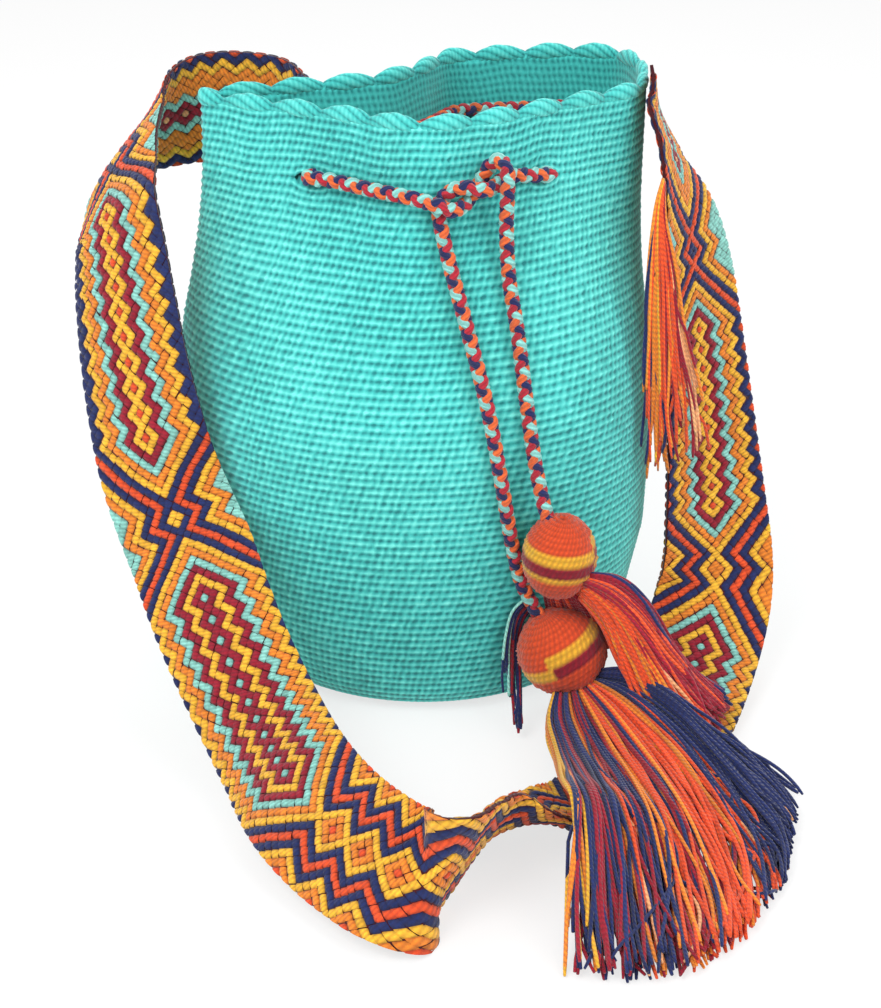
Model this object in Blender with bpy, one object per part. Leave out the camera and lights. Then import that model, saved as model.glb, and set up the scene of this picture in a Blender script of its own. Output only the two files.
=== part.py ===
"""Crochet bucket bag with a braided drawstring, two ball tassels and a wide patterned strap.

The bag stands open on its flat round base, centred on the origin, with +Z up and its front towards -Y.
The strap leaves the back left of the mouth, falls forwards, turns on the ground in front of the bag and
rises again to the right side of the mouth. Lengths named *_MM are in millimetres.
"""
import math

import bmesh
import bpy
import numpy as np

MM = 0.001

# Bag wall
WALL_MM = 3.0
RIM_HEIGHT_MM = 283.0
SCALLOP_MM = 4.0
COLUMNS = 96
COLUMNS_PER_SCALLOP = 4
ROW_RIDGES = 18
RIDGE_MM = 0.55
FLOOR_MM = 3.0
# Plan of the rim, from the middle of the front round by the right side; the back left is pinched forwards.
RIM_PLAN_MM = [
    (-1.5, -67), (25.6, -57), (45, -44), (63, -30), (85, -13), (102, 2), (107.5, 30), (107, 58), (97, 81),
    (75, 88), (53, 84), (30, 80), (10, 72), (-3, 48), (-16, 31), (-34, 19), (-55, 12), (-80, 2), (-98, -5),
    (-103, -14), (-85, -24), (-65, -33), (-33, -50),
]
# Body angle in degrees for some of the rim's plan points, by index.
RIM_TO_BODY_DEG = [(0, -90), (5, -3), (8, 42), (11, 72), (13, 98), (16, 132), (19, 184), (23, 270)]
# The rim's own plan takes over from the oval body above this height, over this rise; the pinched corner lower.
RIM_FORM_FROM_MM = 130.0
RIM_FORM_RISE_MM = 153.0
PINCH_FROM_MM = 45.0
PINCH_RISE_MM = 150.0
# Height, and the body's reach to the right, to the left and to the front at that height.
PROFILE_MM = [
    (0, 83, 83, 83), (4, 90.5, 90.5, 90.5), (12, 96.5, 97.5, 96.5), (24, 101, 104, 100.5),
    (36, 104.5, 109.5, 103), (50, 107.5, 113.5, 104.5), (67, 111.2, 117.5, 105), (100, 112.4, 121.5, 105),
    (150, 111, 122, 105), (178, 110, 122, 104.5), (204, 107, 119.5, 103.5), (230, 104.5, 116, 101),
    (260, 103, 110, 98), (290, 102, 103, 95),
]

# Drawstring
CORD_MM = 6.5
CORD_POINTS = 80
HOLE_WIDTH_MM = 12.4
HOLE_HEIGHT_MM = 9.0
HOLE_RUN_MM = 5.4
INSIDE_OFFSET_MM = 7.9
INSIDE_HEIGHT_MM = 256.0
CORNER_REACH_MM = 11.0
LEFT_HOLE_MM = (-50.7, -45.1, 254.0)
RIGHT_HOLE_MM = (55.5, -40.2, 254.5)
# From the left hole over the front, through the knot and down to the upper ball.
CORD_LEFT_MM = [
    (-40.5, -56.0, 254.6), (-21.3, -68.0, 253.6), (-5.0, -77.2, 252.8), (6.5, -82.6, 251.0),
    (13.2, -80.9, 248.2), (18.6, -74.2, 248.8), (22.8, -68.1, 253.2), (26.3, -64.3, 257.6),
    (29.8, -63.2, 263.2), (33.8, -66.4, 267.0), (37.4, -71.4, 264.0), (37.8, -72.4, 255.0),
    (37.6, -71.4, 236.1), (39.0, -75.6, 214.3), (42.6, -82.9, 193.9), (46.3, -91.8, 167.3),
    (50.6, -99.0, 138.0), (54.8, -103.2, 117.9), (57.7, -105.3, 108.4),
]
# From the right hole over the front, through the knot and down to the lower ball.
CORD_RIGHT_MM = [
    (48.5, -50.8, 256.0), (40.4, -56.0, 257.0), (35.6, -61.4, 256.6), (31.6, -69.0, 255.4),
    (26.8, -75.0, 255.6), (20.4, -76.0, 257.2), (14.2, -73.8, 255.8), (9.2, -74.2, 252.2),
    (7.2, -75.6, 246.6), (8.4, -78.2, 239.0), (12.2, -82.6, 223.5), (19.9, -91.0, 196.7),
    (29.4, -101.6, 161.4), (36.6, -103.2, 122.0), (41.2, -100.4, 94.0), (46.0, -100.6, 74.0),
    (54.2, -103.0, 58.3),
]

# Balls: centres and radii
UPPER_BALL_MM = (62.9, -107.0, 91.2)
UPPER_BALL_RADIUS_MM = 17.6
LOWER_BALL_MM = (65.4, -106.2, 41.4)
LOWER_BALL_RADIUS_MM = 20.0
BALL_ROWS = 8
BALL_ROW_MM = 0.7

# Strap
STRAP_WIDTH_MM = 58.0
STRAP_THICKNESS_MM = 3.0
STRAP_SECTIONS = 76
STRAP_LANES = 4
# Centre, the direction from the inner to the outer edge, and how far the middle bulges.
STRAP_MM = [
    ((-23.9, 28.1, 246.5), (-0.02, -0.03, -1.00), 0.0),
    ((-35.8, 21.7, 246.5), (-0.02, -0.03, -1.00), 0.0),
    ((-47.4, 18.2, 246.5), (-0.02, -0.03, -1.00), 0.0),
    ((-56.0, 24.6, 249.0), (-0.02, -0.05, -1.00), 0.0),
    ((-61.5, 37.0, 253.5), (-0.02, -0.05, -1.00), 0.0),
    ((-72.0, 52.0, 258.0), (-0.03, 0.05, -1.00), 0.0),
    ((-91.0, 61.0, 260.0), (-0.04, 0.18, -0.98), 0.0),
    ((-111.0, 62.0, 259.0), (-0.10, 0.20, -0.97), 0.0),
    ((-128.0, 52.0, 256.0), (-0.30, 0.20, -0.93), 1.0),
    ((-140.0, 34.0, 252.0), (-0.52, 0.20, -0.83), 2.0),
    ((-145.5, 10.0, 247.1), (-0.62, 0.30, -0.72), 4.0),
    ((-146.4, -7.4, 238.6), (-0.66, 0.32, -0.68), 5.0),
    ((-145.9, -27.5, 229.4), (-0.70, 0.41, -0.59), 5.0),
    ((-142.9, -40.7, 211.6), (-0.79, 0.46, -0.39), 5.0),
    ((-140.0, -50.1, 190.8), (-0.86, 0.42, -0.31), 5.0),
    ((-135.3, -60.8, 163.2), (-0.89, 0.33, -0.30), 4.0),
    ((-129.0, -71.1, 135.4), (-0.93, 0.21, -0.29), 4.0),
    ((-123.6, -76.0, 116.5), (-0.93, 0.07, -0.36), 4.0),
    ((-116.0, -84.5, 99.5), (-0.90, -0.08, -0.43), 4.0),
    ((-107.2, -100.5, 87.0), (-0.91, -0.13, -0.39), 4.0),
    ((-99.7, -117.5, 74.5), (-0.90, -0.09, -0.43), 5.0),
    ((-89.3, -136.2, 57.6), (-0.86, -0.05, -0.51), 5.0),
    ((-77.6, -154.5, 41.5), (-0.80, -0.10, -0.59), 5.0),
    ((-67.0, -177.4, 34.0), (-0.73, -0.21, -0.65), 5.0),
    ((-57.8, -203.0, 33.0), (-0.72, -0.28, -0.63), 5.0),
    ((-48.2, -222.5, 31.5), (-0.71, -0.34, -0.61), 4.0),
    ((-36.1, -240.2, 29.0), (-0.65, -0.40, -0.65), 4.0),
    ((-23.3, -256.0, 28.2), (-0.57, -0.46, -0.68), 3.0),
    ((-11.0, -267.5, 27.5), (-0.53, -0.53, -0.66), 2.0),
    ((1.5, -273.0, 27.0), (-0.50, -0.45, -0.74), 1.0),
    ((12.0, -266.5, 26.5), (-0.42, -0.10, -0.90), 0.0),
    ((21.0, -248.0, 23.5), (-0.20, 0.45, -0.86), 0.0),
    ((31.0, -229.0, 20.5), (0.03, 0.80, -0.58), 0.0),
    ((47.0, -213.0, 17.5), (-0.08, 0.92, -0.38), 1.0),
    ((62.0, -203.0, 12.5), (-0.28, 0.94, -0.22), 2.0),
    ((79.0, -188.0, 6.5), (-0.50, 0.86, -0.06), 2.0),
    ((99.0, -155.0, 3.6), (-0.70, 0.71, 0.00), 1.0),
    ((119.0, -110.0, 7.5), (-0.86, 0.50, 0.10), 0.0),
    ((135.0, -70.0, 20.0), (-0.95, 0.22, 0.20), 1.0),
    ((144.0, -47.0, 38.0), (-0.99, -0.06, 0.12), 2.0),
    ((146.0, -38.0, 56.0), (-0.96, -0.24, 0.12), 4.0),
    ((144.5, -31.0, 79.0), (-0.90, -0.39, 0.16), 4.0),
    ((142.0, -24.0, 106.0), (-0.83, -0.51, 0.20), 4.0),
    ((139.0, -18.0, 136.0), (-0.76, -0.61, 0.22), 4.0),
    ((135.5, -13.0, 165.0), (-0.70, -0.67, 0.22), 4.0),
    ((131.0, -8.0, 200.0), (-0.62, -0.75, 0.22), 3.0),
    ((125.5, -3.0, 231.0), (-0.46, -0.86, 0.24), 1.0),
    ((118.5, 5.5, 253.0), (-0.20, -0.97, 0.14), 0.0),
    ((112.4, 17.0, 269.0), (-0.08, -1.00, 0.04), 0.0),
    ((109.8, 24.0, 283.5), (-0.04, -1.00, 0.00), 0.0),
]

# Yarn bundles: route points of (x, y, z, width, thickness), and the direction that the width runs in.
TAIL_MM = [
    (104.5, -44.1, 240.0, 7, 4.5), (107.4, -46.1, 210.0, 12, 5), (108.8, -46.6, 181.0, 14, 5.5),
    (109.6, -47.1, 152.0, 16, 5.5), (111.4, -47.1, 122.0, 18, 5.5), (110.9, -47.3, 98.0, 19, 4.2),
]
TAIL_SIDE = (0.95, 0.25, 0.0)
UPPER_FRINGE_MM = {
    "fringe_upper_right": ([
        (72.6, -118.4, 79.9, 8, 7), (82.0, -124.5, 76.5, 13, 7), (94.0, -127.0, 68.0, 19, 7),
        (107.0, -128.0, 54.0, 23, 6.5), (121.0, -128.0, 38.0, 24, 6), (136.0, -127.5, 21.0, 20, 5),
    ], (0.60, -0.10, 0.79)),
    "fringe_upper_left": ([
        (53.6, -118.4, 78.9, 5, 4), (44.6, -120.4, 66.0, 8, 4), (40.6, -120.5, 46.0, 9, 4),
        (39.6, -124.0, 24.0, 9, 4), (41.0, -134.0, 6.0, 10, 4),
    ], (0.90, 0.30, 0.25)),
}
LOWER_FRINGE_MM = {
    "fringe_lower_left": ([
        (61.6, -117.4, 24.6, 7, 5), (57.6, -133.0, 14.0, 14, 6), (59.6, -155.0, 13.0, 18, 6),
        (60.8, -178.0, 15.0, 20, 5.5), (61.4, -200.0, 20.5, 20, 5.5), (62.2, -219.0, 30.5, 20, 5.5),
        (64.6, -233.0, 39.5, 19, 5.5), (64.8, -246.0, 37.0, 19, 5.5), (63.8, -263.0, 15.0, 20, 6), (64.0, -285.0, 4.5, 20, 6),
        (64.6, -303.0, 4.0, 18, 6),
    ], (1.0, 0.05, 0.0)),
    "fringe_lower_middle": ([
        (69.8, -117.8, 24.6, 7, 5), (75.4, -137.0, 15.0, 15, 7), (81.0, -166.0, 11.5, 20, 7),
        (85.0, -192.0, 15.0, 21, 6.5), (86.8, -211.0, 21.0, 22, 6.5), (87.2, -226.0, 26.0, 22, 6.5),
        (87.8, -240.0, 18.0, 22, 6.5),
        (88.2, -256.0, 6.5, 22, 7), (88.4, -282.0, 4.5, 22, 6.5), (88.0, -304.0, 4.0, 21, 6),
    ], (1.0, 0.10, 0.0)),
    "fringe_lower_right": ([
        (77.6, -116.4, 28.8, 5.4, 5), (91.6, -137.0, 16.5, 14, 7), (105.4, -162.0, 10.5, 22, 7),
        (112.0, -190.0, 12.6, 27, 7), (116.4, -214.0, 9.8, 27, 7), (117.4, -240.0, 5.5, 27, 6.5),
        (116.4, -268.0, 4.5, 26, 6), (114.4, -294.0, 4.0, 24, 6),
    ], (0.97, 0.22, 0.0)),
    "fringe_lower_outer": ([
        (83.3, -111.8, 31.2, 5.4, 5), (101.0, -121.0, 21.0, 11, 6), (121.0, -146.0, 10.5, 20, 7),
        (138.0, -170.0, 8.0, 25, 7), (148.0, -194.0, 5.0, 27, 7), (150.6, -216.0, 4.5, 27, 6.5),
        (150.0, -240.0, 4.3, 25, 6.5), (144.0, -263.0, 4.0, 20, 6),
    ], (0.88, 0.47, 0.0)),
}
BUNDLE_STATIONS = 13
BUNDLE_SIDES = 12

COLOURS = {
    "turquoise": (0.065, 0.584, 0.552),
    "navy": (0.014, 0.023, 0.082),
    "orange": (0.914, 0.247, 0.025),
    "crimson": (0.342, 0.013, 0.032),
    "strap_red": (0.807, 0.117, 0.045),
    "cord_teal": (0.175, 0.445, 0.420),
}


def material(name):
    found = bpy.data.materials.get(name)
    if found:
        return found
    made = bpy.data.materials.new(name)
    made.use_nodes = True
    shader = made.node_tree.nodes["Principled BSDF"]
    shader.inputs["Base Color"].default_value = (*COLOURS[name], 1.0)
    shader.inputs["Roughness"].default_value = 0.85
    return made


def add_mesh(name, vertices, faces, colour, smooth=True):
    mesh = bpy.data.meshes.new(name)
    mesh.from_pydata([tuple(float(c) for c in v) for v in vertices], [], [tuple(f) for f in faces])
    work = bmesh.new()
    work.from_mesh(mesh)
    bmesh.ops.recalc_face_normals(work, faces=work.faces)
    work.to_mesh(mesh)
    work.free()
    for face in mesh.polygons:
        face.use_smooth = smooth
    mesh.materials.append(material(colour))
    made = bpy.data.objects.new(name, mesh)
    bpy.context.scene.collection.objects.link(made)
    return made


def smooth_step(value):
    value = np.clip(value, 0.0, 1.0)
    return value * value * (3.0 - 2.0 * value)


def spline(points, count, closed=False, crowd=0.0):
    """Points spread along a smooth curve through the route points, closer together where it bends."""
    route = np.asarray(points, float)
    last = len(route) if closed else len(route) - 1
    steps = np.linspace(0.0, 1.0, 40, endpoint=False)[:, None]
    fine = []
    for i in range(last):
        if closed:
            a, b, c, d = (route[(i + k) % len(route)] for k in (-1, 0, 1, 2))
        else:
            a, b, c, d = (route[min(max(i + k, 0), len(route) - 1)] for k in (-1, 0, 1, 2))
        cubic = 2 * b + (c - a) * steps + (2 * a - 5 * b + 4 * c - d) * steps ** 2
        fine.append(0.5 * (cubic + (3 * b - a - 3 * c + d) * steps ** 3))
    fine.append(route[:1] if closed else route[-1:])
    fine = np.vstack(fine)
    leg = np.diff(fine[:, :3], axis=0)
    length = np.linalg.norm(leg, axis=1)
    unit = leg / length[:, None]
    turn = np.zeros(len(length))
    turn[1:] = np.linalg.norm(np.diff(unit, axis=0), axis=1)
    turn = np.convolve(turn, np.ones(25) / 25, mode="same")
    reach = np.concatenate([[0.0], np.cumsum(length + crowd * turn)])
    wanted = np.linspace(0.0, reach[-1], count, endpoint=not closed)
    return np.stack([np.interp(wanted, reach, fine[:, k]) for k in range(fine.shape[1])], axis=1)


def rim_plan():
    """The rim's plan at every column, with the body angle that belongs to it."""
    indexed = [(x * MM, y * MM) for x, y in RIM_PLAN_MM]
    plan = spline(indexed, COLUMNS, closed=True)
    fine = spline(indexed, 40 * len(indexed), closed=True)
    index = np.interp(
        np.arange(COLUMNS) / COLUMNS,
        [reach_of(fine, point) for point in indexed] + [1.0],
        np.arange(len(indexed) + 1),
    )
    known = np.array(RIM_TO_BODY_DEG, float)
    return plan, np.radians(np.interp(index, known[:, 0], known[:, 1]))


def reach_of(fine, point):
    """How far round the closed curve, from 0 to 1, the nearest of its points is."""
    return int(np.argmin(np.linalg.norm(fine - np.array(point), axis=1))) / len(fine)


RIM, ANGLE = rim_plan()


def plan_at(height):
    """The wall's outside in plan at a height in metres: a round body that turns into the rim's shape."""
    table = np.array(PROFILE_MM, float) * MM
    right, left, front = (np.interp(height, table[:, 0], table[:, k]) for k in (1, 2, 3))
    along, across = np.cos(ANGLE), np.sin(ANGLE)
    body = np.stack([(right - left) / 2 + (right + left) / 2 * along, front * across], axis=1)
    pinched = smooth_step((across + 0.15) / 0.5) * smooth_step((0.35 - along) / 0.7)
    free = smooth_step((height - RIM_FORM_FROM_MM * MM) / (RIM_FORM_RISE_MM * MM))
    held = smooth_step((height - PINCH_FROM_MM * MM) / (PINCH_RISE_MM * MM))
    share = (free * (1 - pinched) + held * pinched)[:, None]
    return body + (RIM - body) * share


def outward(plan):
    """Unit normals of a closed plan curve that runs anticlockwise."""
    tangent = np.roll(plan, -1, axis=0) - np.roll(plan, 1, axis=0)
    normal = np.stack([tangent[:, 1], -tangent[:, 0]], axis=1)
    return normal / np.linalg.norm(normal, axis=1)[:, None]


def build_bag():
    """One closed shell: outside with row ridges, scalloped rim, inside and floor."""
    column = np.arange(COLUMNS)
    scallop = SCALLOP_MM * MM * np.abs(np.sin(np.pi * column / COLUMNS_PER_SCALLOP))
    rim = RIM_HEIGHT_MM * MM
    rings = []

    def ring(height, offset, lift=0.0):
        plan = plan_at(height)
        plan = plan + outward(plan) * offset
        level = np.full(COLUMNS, height) + lift
        rings.append(np.column_stack([plan, level]))

    base = plan_at(0.0)
    for share in (0.45, 0.95):
        rings.append(np.column_stack([base * share, np.zeros(COLUMNS)]))
    ring(0.0015, 0.0)
    start = 0.006
    pitch = (rim - 0.004 - start) / ROW_RIDGES
    for row in range(ROW_RIDGES):
        ring(start + row * pitch, 0.0)
        ring(start + (row + 0.5) * pitch, RIDGE_MM * MM)
    ring(rim - 0.004, 0.0)
    ring(rim, 0.0, scallop)
    ring(rim, -WALL_MM * MM, scallop)
    for height in np.linspace(rim - 0.012, 0.020, 9):
        ring(height, -WALL_MM * MM)
    inner = plan_at(0.006)
    for share, level in ((0.93, 0.006), (0.80, FLOOR_MM * MM), (0.40, FLOOR_MM * MM)):
        rings.append(np.column_stack([inner * share, np.full(COLUMNS, level)]))

    vertices = np.vstack(rings + [[[0, 0, 0]], [[0, 0, FLOOR_MM * MM]]])
    faces = []
    for level in range(len(rings) - 1):
        for k in range(COLUMNS):
            right = (k + 1) % COLUMNS
            low, high = level * COLUMNS, (level + 1) * COLUMNS
            faces.append((low + k, low + right, high + right, high + k))
    under, floor = len(vertices) - 2, len(vertices) - 1
    top = (len(rings) - 1) * COLUMNS
    for k in range(COLUMNS):
        right = (k + 1) % COLUMNS
        faces.append((under, right, k))
        faces.append((floor, top + k, top + right))
    bag = add_mesh("bag_body", vertices, faces, "turquoise")
    for place in (LEFT_HOLE_MM, RIGHT_HOLE_MM):
        cut_hole(bag, place)
    return bag


def wall_normal(place):
    """The wall's outward direction in plan at the column nearest to a point in millimetres."""
    plan = plan_at(place[2] * MM)
    nearest = int(np.argmin(np.linalg.norm(plan - np.array(place[:2]) * MM, axis=1)))
    return outward(plan)[nearest], nearest


def cut_hole(bag, place):
    """Cuts one oval drawstring hole through the wall."""
    normal, _ = wall_normal(place)
    side = np.array([-normal[1], normal[0]])
    ring = []
    for depth in (-0.009, 0.009):
        for k in range(14):
            angle = 2 * math.pi * k / 14
            across = math.cos(angle) * HOLE_WIDTH_MM / 2 * MM
            up = math.sin(angle) * HOLE_HEIGHT_MM / 2 * MM
            xy = np.array(place[:2]) * MM + side * across + normal * depth
            ring.append((xy[0], xy[1], place[2] * MM + up))
    faces = [tuple(range(14)), tuple(range(27, 13, -1))]
    faces += [(k, (k + 1) % 14, 14 + (k + 1) % 14, 14 + k) for k in range(14)]
    cutter = add_mesh("hole_cutter", ring, faces, "turquoise")
    modifier = bag.modifiers.new("hole", "BOOLEAN")
    modifier.operation = "DIFFERENCE"
    modifier.solver = "EXACT"
    modifier.object = cutter
    bpy.context.view_layer.objects.active = bag
    bpy.ops.object.modifier_apply(modifier="hole")
    bpy.data.objects.remove(cutter, do_unlink=True)


def build_drawstring():
    """One cord: upper ball, knot, left hole, round the inside of the mouth, right hole, knot, lower ball."""
    plan = plan_at(INSIDE_HEIGHT_MM * MM)
    inside = (plan - outward(plan) * INSIDE_OFFSET_MM * MM) / MM
    holes = []
    for place in (LEFT_HOLE_MM, RIGHT_HOLE_MM):
        normal, nearest = wall_normal(place)
        middle = np.array(place[:2]) - normal * WALL_MM / 2
        holes.append((nearest, [(*(middle + normal * d), place[2]) for d in (HOLE_RUN_MM, 0.0, -HOLE_RUN_MM)]))
    (left, left_way), (right, right_way) = holes
    corner = float(inside[:, 0].min()) + CORNER_REACH_MM
    round_inside = [
        (*inside[k], INSIDE_HEIGHT_MM) for k in range(left - 2, right + 1, -2) if inside[k, 0] > corner
    ]
    route = list(reversed(CORD_LEFT_MM)) + left_way + round_inside + list(reversed(right_way)) + CORD_RIGHT_MM
    points = spline(route, CORD_POINTS, crowd=14.0) * MM
    curve = bpy.data.curves.new("drawstring", "CURVE")
    curve.dimensions = "3D"
    curve.bevel_depth = CORD_MM / 2 * MM
    curve.bevel_resolution = 2
    curve.use_fill_caps = True
    line = curve.splines.new("POLY")
    line.points.add(len(points) - 1)
    for slot, point in zip(line.points, points):
        slot.co = (*point, 1.0)
    curve.materials.append(material("cord_teal"))
    bpy.context.scene.collection.objects.link(bpy.data.objects.new("drawstring", curve))


def build_ball(name, centre, radius):
    """A ball with raised crochet rows round its upright axis."""
    levels, around = 2 * BALL_ROWS, 20
    vertices = [(0, 0, radius * MM)]
    for level in range(1, levels):
        tilt = math.pi * level / levels
        size = (radius - BALL_ROW_MM * (level % 2)) * MM
        for k in range(around):
            turn = 2 * math.pi * k / around
            vertices.append((
                size * math.sin(tilt) * math.cos(turn), size * math.sin(tilt) * math.sin(turn), size * math.cos(tilt),
            ))
    vertices.append((0, 0, -radius * MM))
    faces = []
    for k in range(around):
        right = (k + 1) % around
        faces.append((0, 1 + k, 1 + right))
        for level in range(levels - 2):
            low = 1 + level * around
            faces.append((low + k, low + around + k, low + around + right, low + right))
        last = 1 + (levels - 2) * around
        faces.append((last + k, len(vertices) - 1, last + right))
    shift = np.array(centre) * MM
    add_mesh(name, [np.array(v) + shift for v in vertices], faces, "orange")


def frames(points, side):
    """Unit tangents, side directions and normals along a line of points."""
    tangent = np.gradient(points, axis=0)
    tangent /= np.linalg.norm(tangent, axis=1)[:, None]
    side = side - (side * tangent).sum(1)[:, None] * tangent
    side /= np.linalg.norm(side, axis=1)[:, None]
    return tangent, side, np.cross(side, tangent)


def loft(name, sections, colour):
    """A closed body through closed sections with the same number of points."""
    count = len(sections[0])
    vertices = np.vstack(sections)
    faces = []
    for level in range(len(sections) - 1):
        for k in range(count):
            right = (k + 1) % count
            low, high = level * count, (level + 1) * count
            faces.append((low + k, low + right, high + right, high + k))
    last = (len(sections) - 1) * count
    faces.append(tuple(range(count)))
    faces.append(tuple(range(last + count - 1, last - 1, -1)))
    return add_mesh(name, vertices, faces, colour)


def build_bundle(name, route, side, colour):
    """A flat bundle of yarns: an oval section with grooves between the yarns."""
    line = spline(route, BUNDLE_STATIONS) * MM
    centre, width, thick = line[:, :3], line[:, 3], line[:, 4]
    _, across, normal = frames(centre, np.tile(np.array(side, float), (BUNDLE_STATIONS, 1)))
    turn = 2 * np.pi * np.arange(BUNDLE_SIDES) / BUNDLE_SIDES
    groove = 1 - 0.26 * (np.arange(BUNDLE_SIDES) % 2)
    sections = []
    for k in range(BUNDLE_STATIONS):
        wide = np.outer(np.cos(turn) * width[k] / 2, across[k])
        deep = np.outer(np.sin(turn) * groove * thick[k] / 2, normal[k])
        sections.append(centre[k] + wide + deep)
    loft(name, sections, colour)


def build_strap():
    """A flat band along its centre line, bulged a little across its width."""
    route = [(*centre, *side, bulge) for centre, side, bulge in STRAP_MM]
    line = spline(route, STRAP_SECTIONS)
    centre, side, bulge = line[:, :3], line[:, 3:6], line[:, 6]
    _, across, normal = frames(centre, side)
    lane = np.linspace(-1.0, 1.0, STRAP_LANES + 1)
    sections = []
    for k in range(STRAP_SECTIONS):
        rise = bulge[k] * (0.5 - lane ** 2)
        middle = centre[k] + np.outer(lane * STRAP_WIDTH_MM / 2, across[k]) + np.outer(rise, normal[k])
        half = normal[k] * STRAP_THICKNESS_MM / 2
        section = np.vstack([middle + half, (middle - half)[::-1]]) * MM
        section[:, 2] = np.maximum(section[:, 2], 0.0)
        sections.append(section)
    loft("strap", sections, "strap_red")


def main():
    for item in list(bpy.data.objects):
        bpy.data.objects.remove(item, do_unlink=True)
    build_bag()
    build_drawstring()
    build_ball("ball_upper", UPPER_BALL_MM, UPPER_BALL_RADIUS_MM)
    build_ball("ball_lower", LOWER_BALL_MM, LOWER_BALL_RADIUS_MM)
    build_strap()
    build_bundle("strap_tail", TAIL_MM, TAIL_SIDE, "orange")
    for name, (route, side) in UPPER_FRINGE_MM.items():
        build_bundle(name, route, side, "crimson" if name.endswith("right") else "navy")
    for name, (route, side) in LOWER_FRINGE_MM.items():
        colour = "navy" if name.endswith(("left", "outer")) else "orange"
        build_bundle(name, route, side, colour)


main()
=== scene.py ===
"""Looks of the crochet bucket bag: crochet wall and rim, braided drawstring, ball tassels, woven strap.

Lengths named *_MM are in millimetres. Shapes repeat the routes of the part, and every piece rides on the
body "root".
"""

import math

import bmesh
import bpy
import numpy as np
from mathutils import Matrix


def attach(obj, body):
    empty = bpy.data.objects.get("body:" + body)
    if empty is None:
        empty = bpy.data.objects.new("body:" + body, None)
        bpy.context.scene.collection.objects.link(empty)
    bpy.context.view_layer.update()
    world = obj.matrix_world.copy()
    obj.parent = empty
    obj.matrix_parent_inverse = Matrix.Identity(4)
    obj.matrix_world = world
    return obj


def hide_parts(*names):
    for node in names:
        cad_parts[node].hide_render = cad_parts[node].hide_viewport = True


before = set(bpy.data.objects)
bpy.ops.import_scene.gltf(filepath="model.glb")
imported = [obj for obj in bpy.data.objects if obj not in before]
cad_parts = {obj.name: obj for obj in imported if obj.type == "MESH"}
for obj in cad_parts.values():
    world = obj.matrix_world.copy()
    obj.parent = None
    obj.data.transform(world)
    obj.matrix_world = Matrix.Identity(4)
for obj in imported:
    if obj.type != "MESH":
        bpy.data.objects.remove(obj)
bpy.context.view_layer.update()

MM = 0.001
TAU = 2 * math.pi
rng = np.random.default_rng(11)

# Bag wall, as in the part
RIM_HEIGHT_MM = 283.0
WALL_MM = 3.0
FLOOR_MM = 3.0
RIM_PLAN_MM = [
    (-1.5, -67), (25.6, -57), (45, -44), (63, -30), (85, -13), (102, 2), (107.5, 30), (107, 58), (97, 81),
    (75, 88), (53, 84), (30, 80), (10, 72), (-3, 48), (-16, 31), (-34, 19), (-55, 12), (-80, 2), (-98, -5),
    (-103, -14), (-85, -24), (-65, -33), (-33, -50),
]
RIM_TO_BODY_DEG = [(0, -90), (5, -3), (8, 42), (11, 72), (13, 98), (16, 132), (19, 184), (23, 270)]
PROFILE_MM = [
    (0, 83, 83, 83), (4, 90.5, 90.5, 90.5), (12, 96.5, 97.5, 96.5), (24, 101, 104, 100.5),
    (36, 104.5, 109.5, 103), (50, 107.5, 113.5, 104.5), (67, 111.2, 117.5, 105), (100, 112.4, 121.5, 105),
    (150, 111, 122, 105), (178, 110, 122, 104.5), (204, 107, 119.5, 103.5), (230, 104.5, 116, 101),
    (260, 103, 110, 98), (290, 102, 103, 95),
]
# The rim's own plan takes over from the oval body above this height, over this rise; the pinch lower.
RIM_FORM_FROM_MM = 130.0
RIM_FORM_RISE_MM = 153.0
PINCH_FROM_MM = 45.0
PINCH_RISE_MM = 150.0

# Crochet: stitches round the wall, rows up it, and the share of a stitch by which each row is shifted
STITCHES = 180
ROWS = 74
LEAN = -0.3
SCALLOPS = 22
# Drawstring holes: place and half the width of the eye; both open at the same row
HOLES_MM = [(-50.7, -45.1, 254.0, 9.0), (55.5, -40.2, 254.0, 7.5)]
HOLE_ROW = 66
EYE_FADE_MM = 11.0
EYE_OPEN_MM = 3.0

# Drawstring
INSIDE_OFFSET_MM = 7.9
INSIDE_HEIGHT_MM = 256.0
CORNER_REACH_MM = 11.0
HOLE_RUN_MM = 5.4
# Columns of the part's wall, which set the points of the route inside
PART_COLUMNS = 96
BRAID_PITCH_MM = 12.6
STRAND_OUT_MM = 1.50
STRAND_WEAVE_MM = 0.50
STRAND_RADIUS_MM = 1.86
STRAND_SIDES = 9
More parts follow.
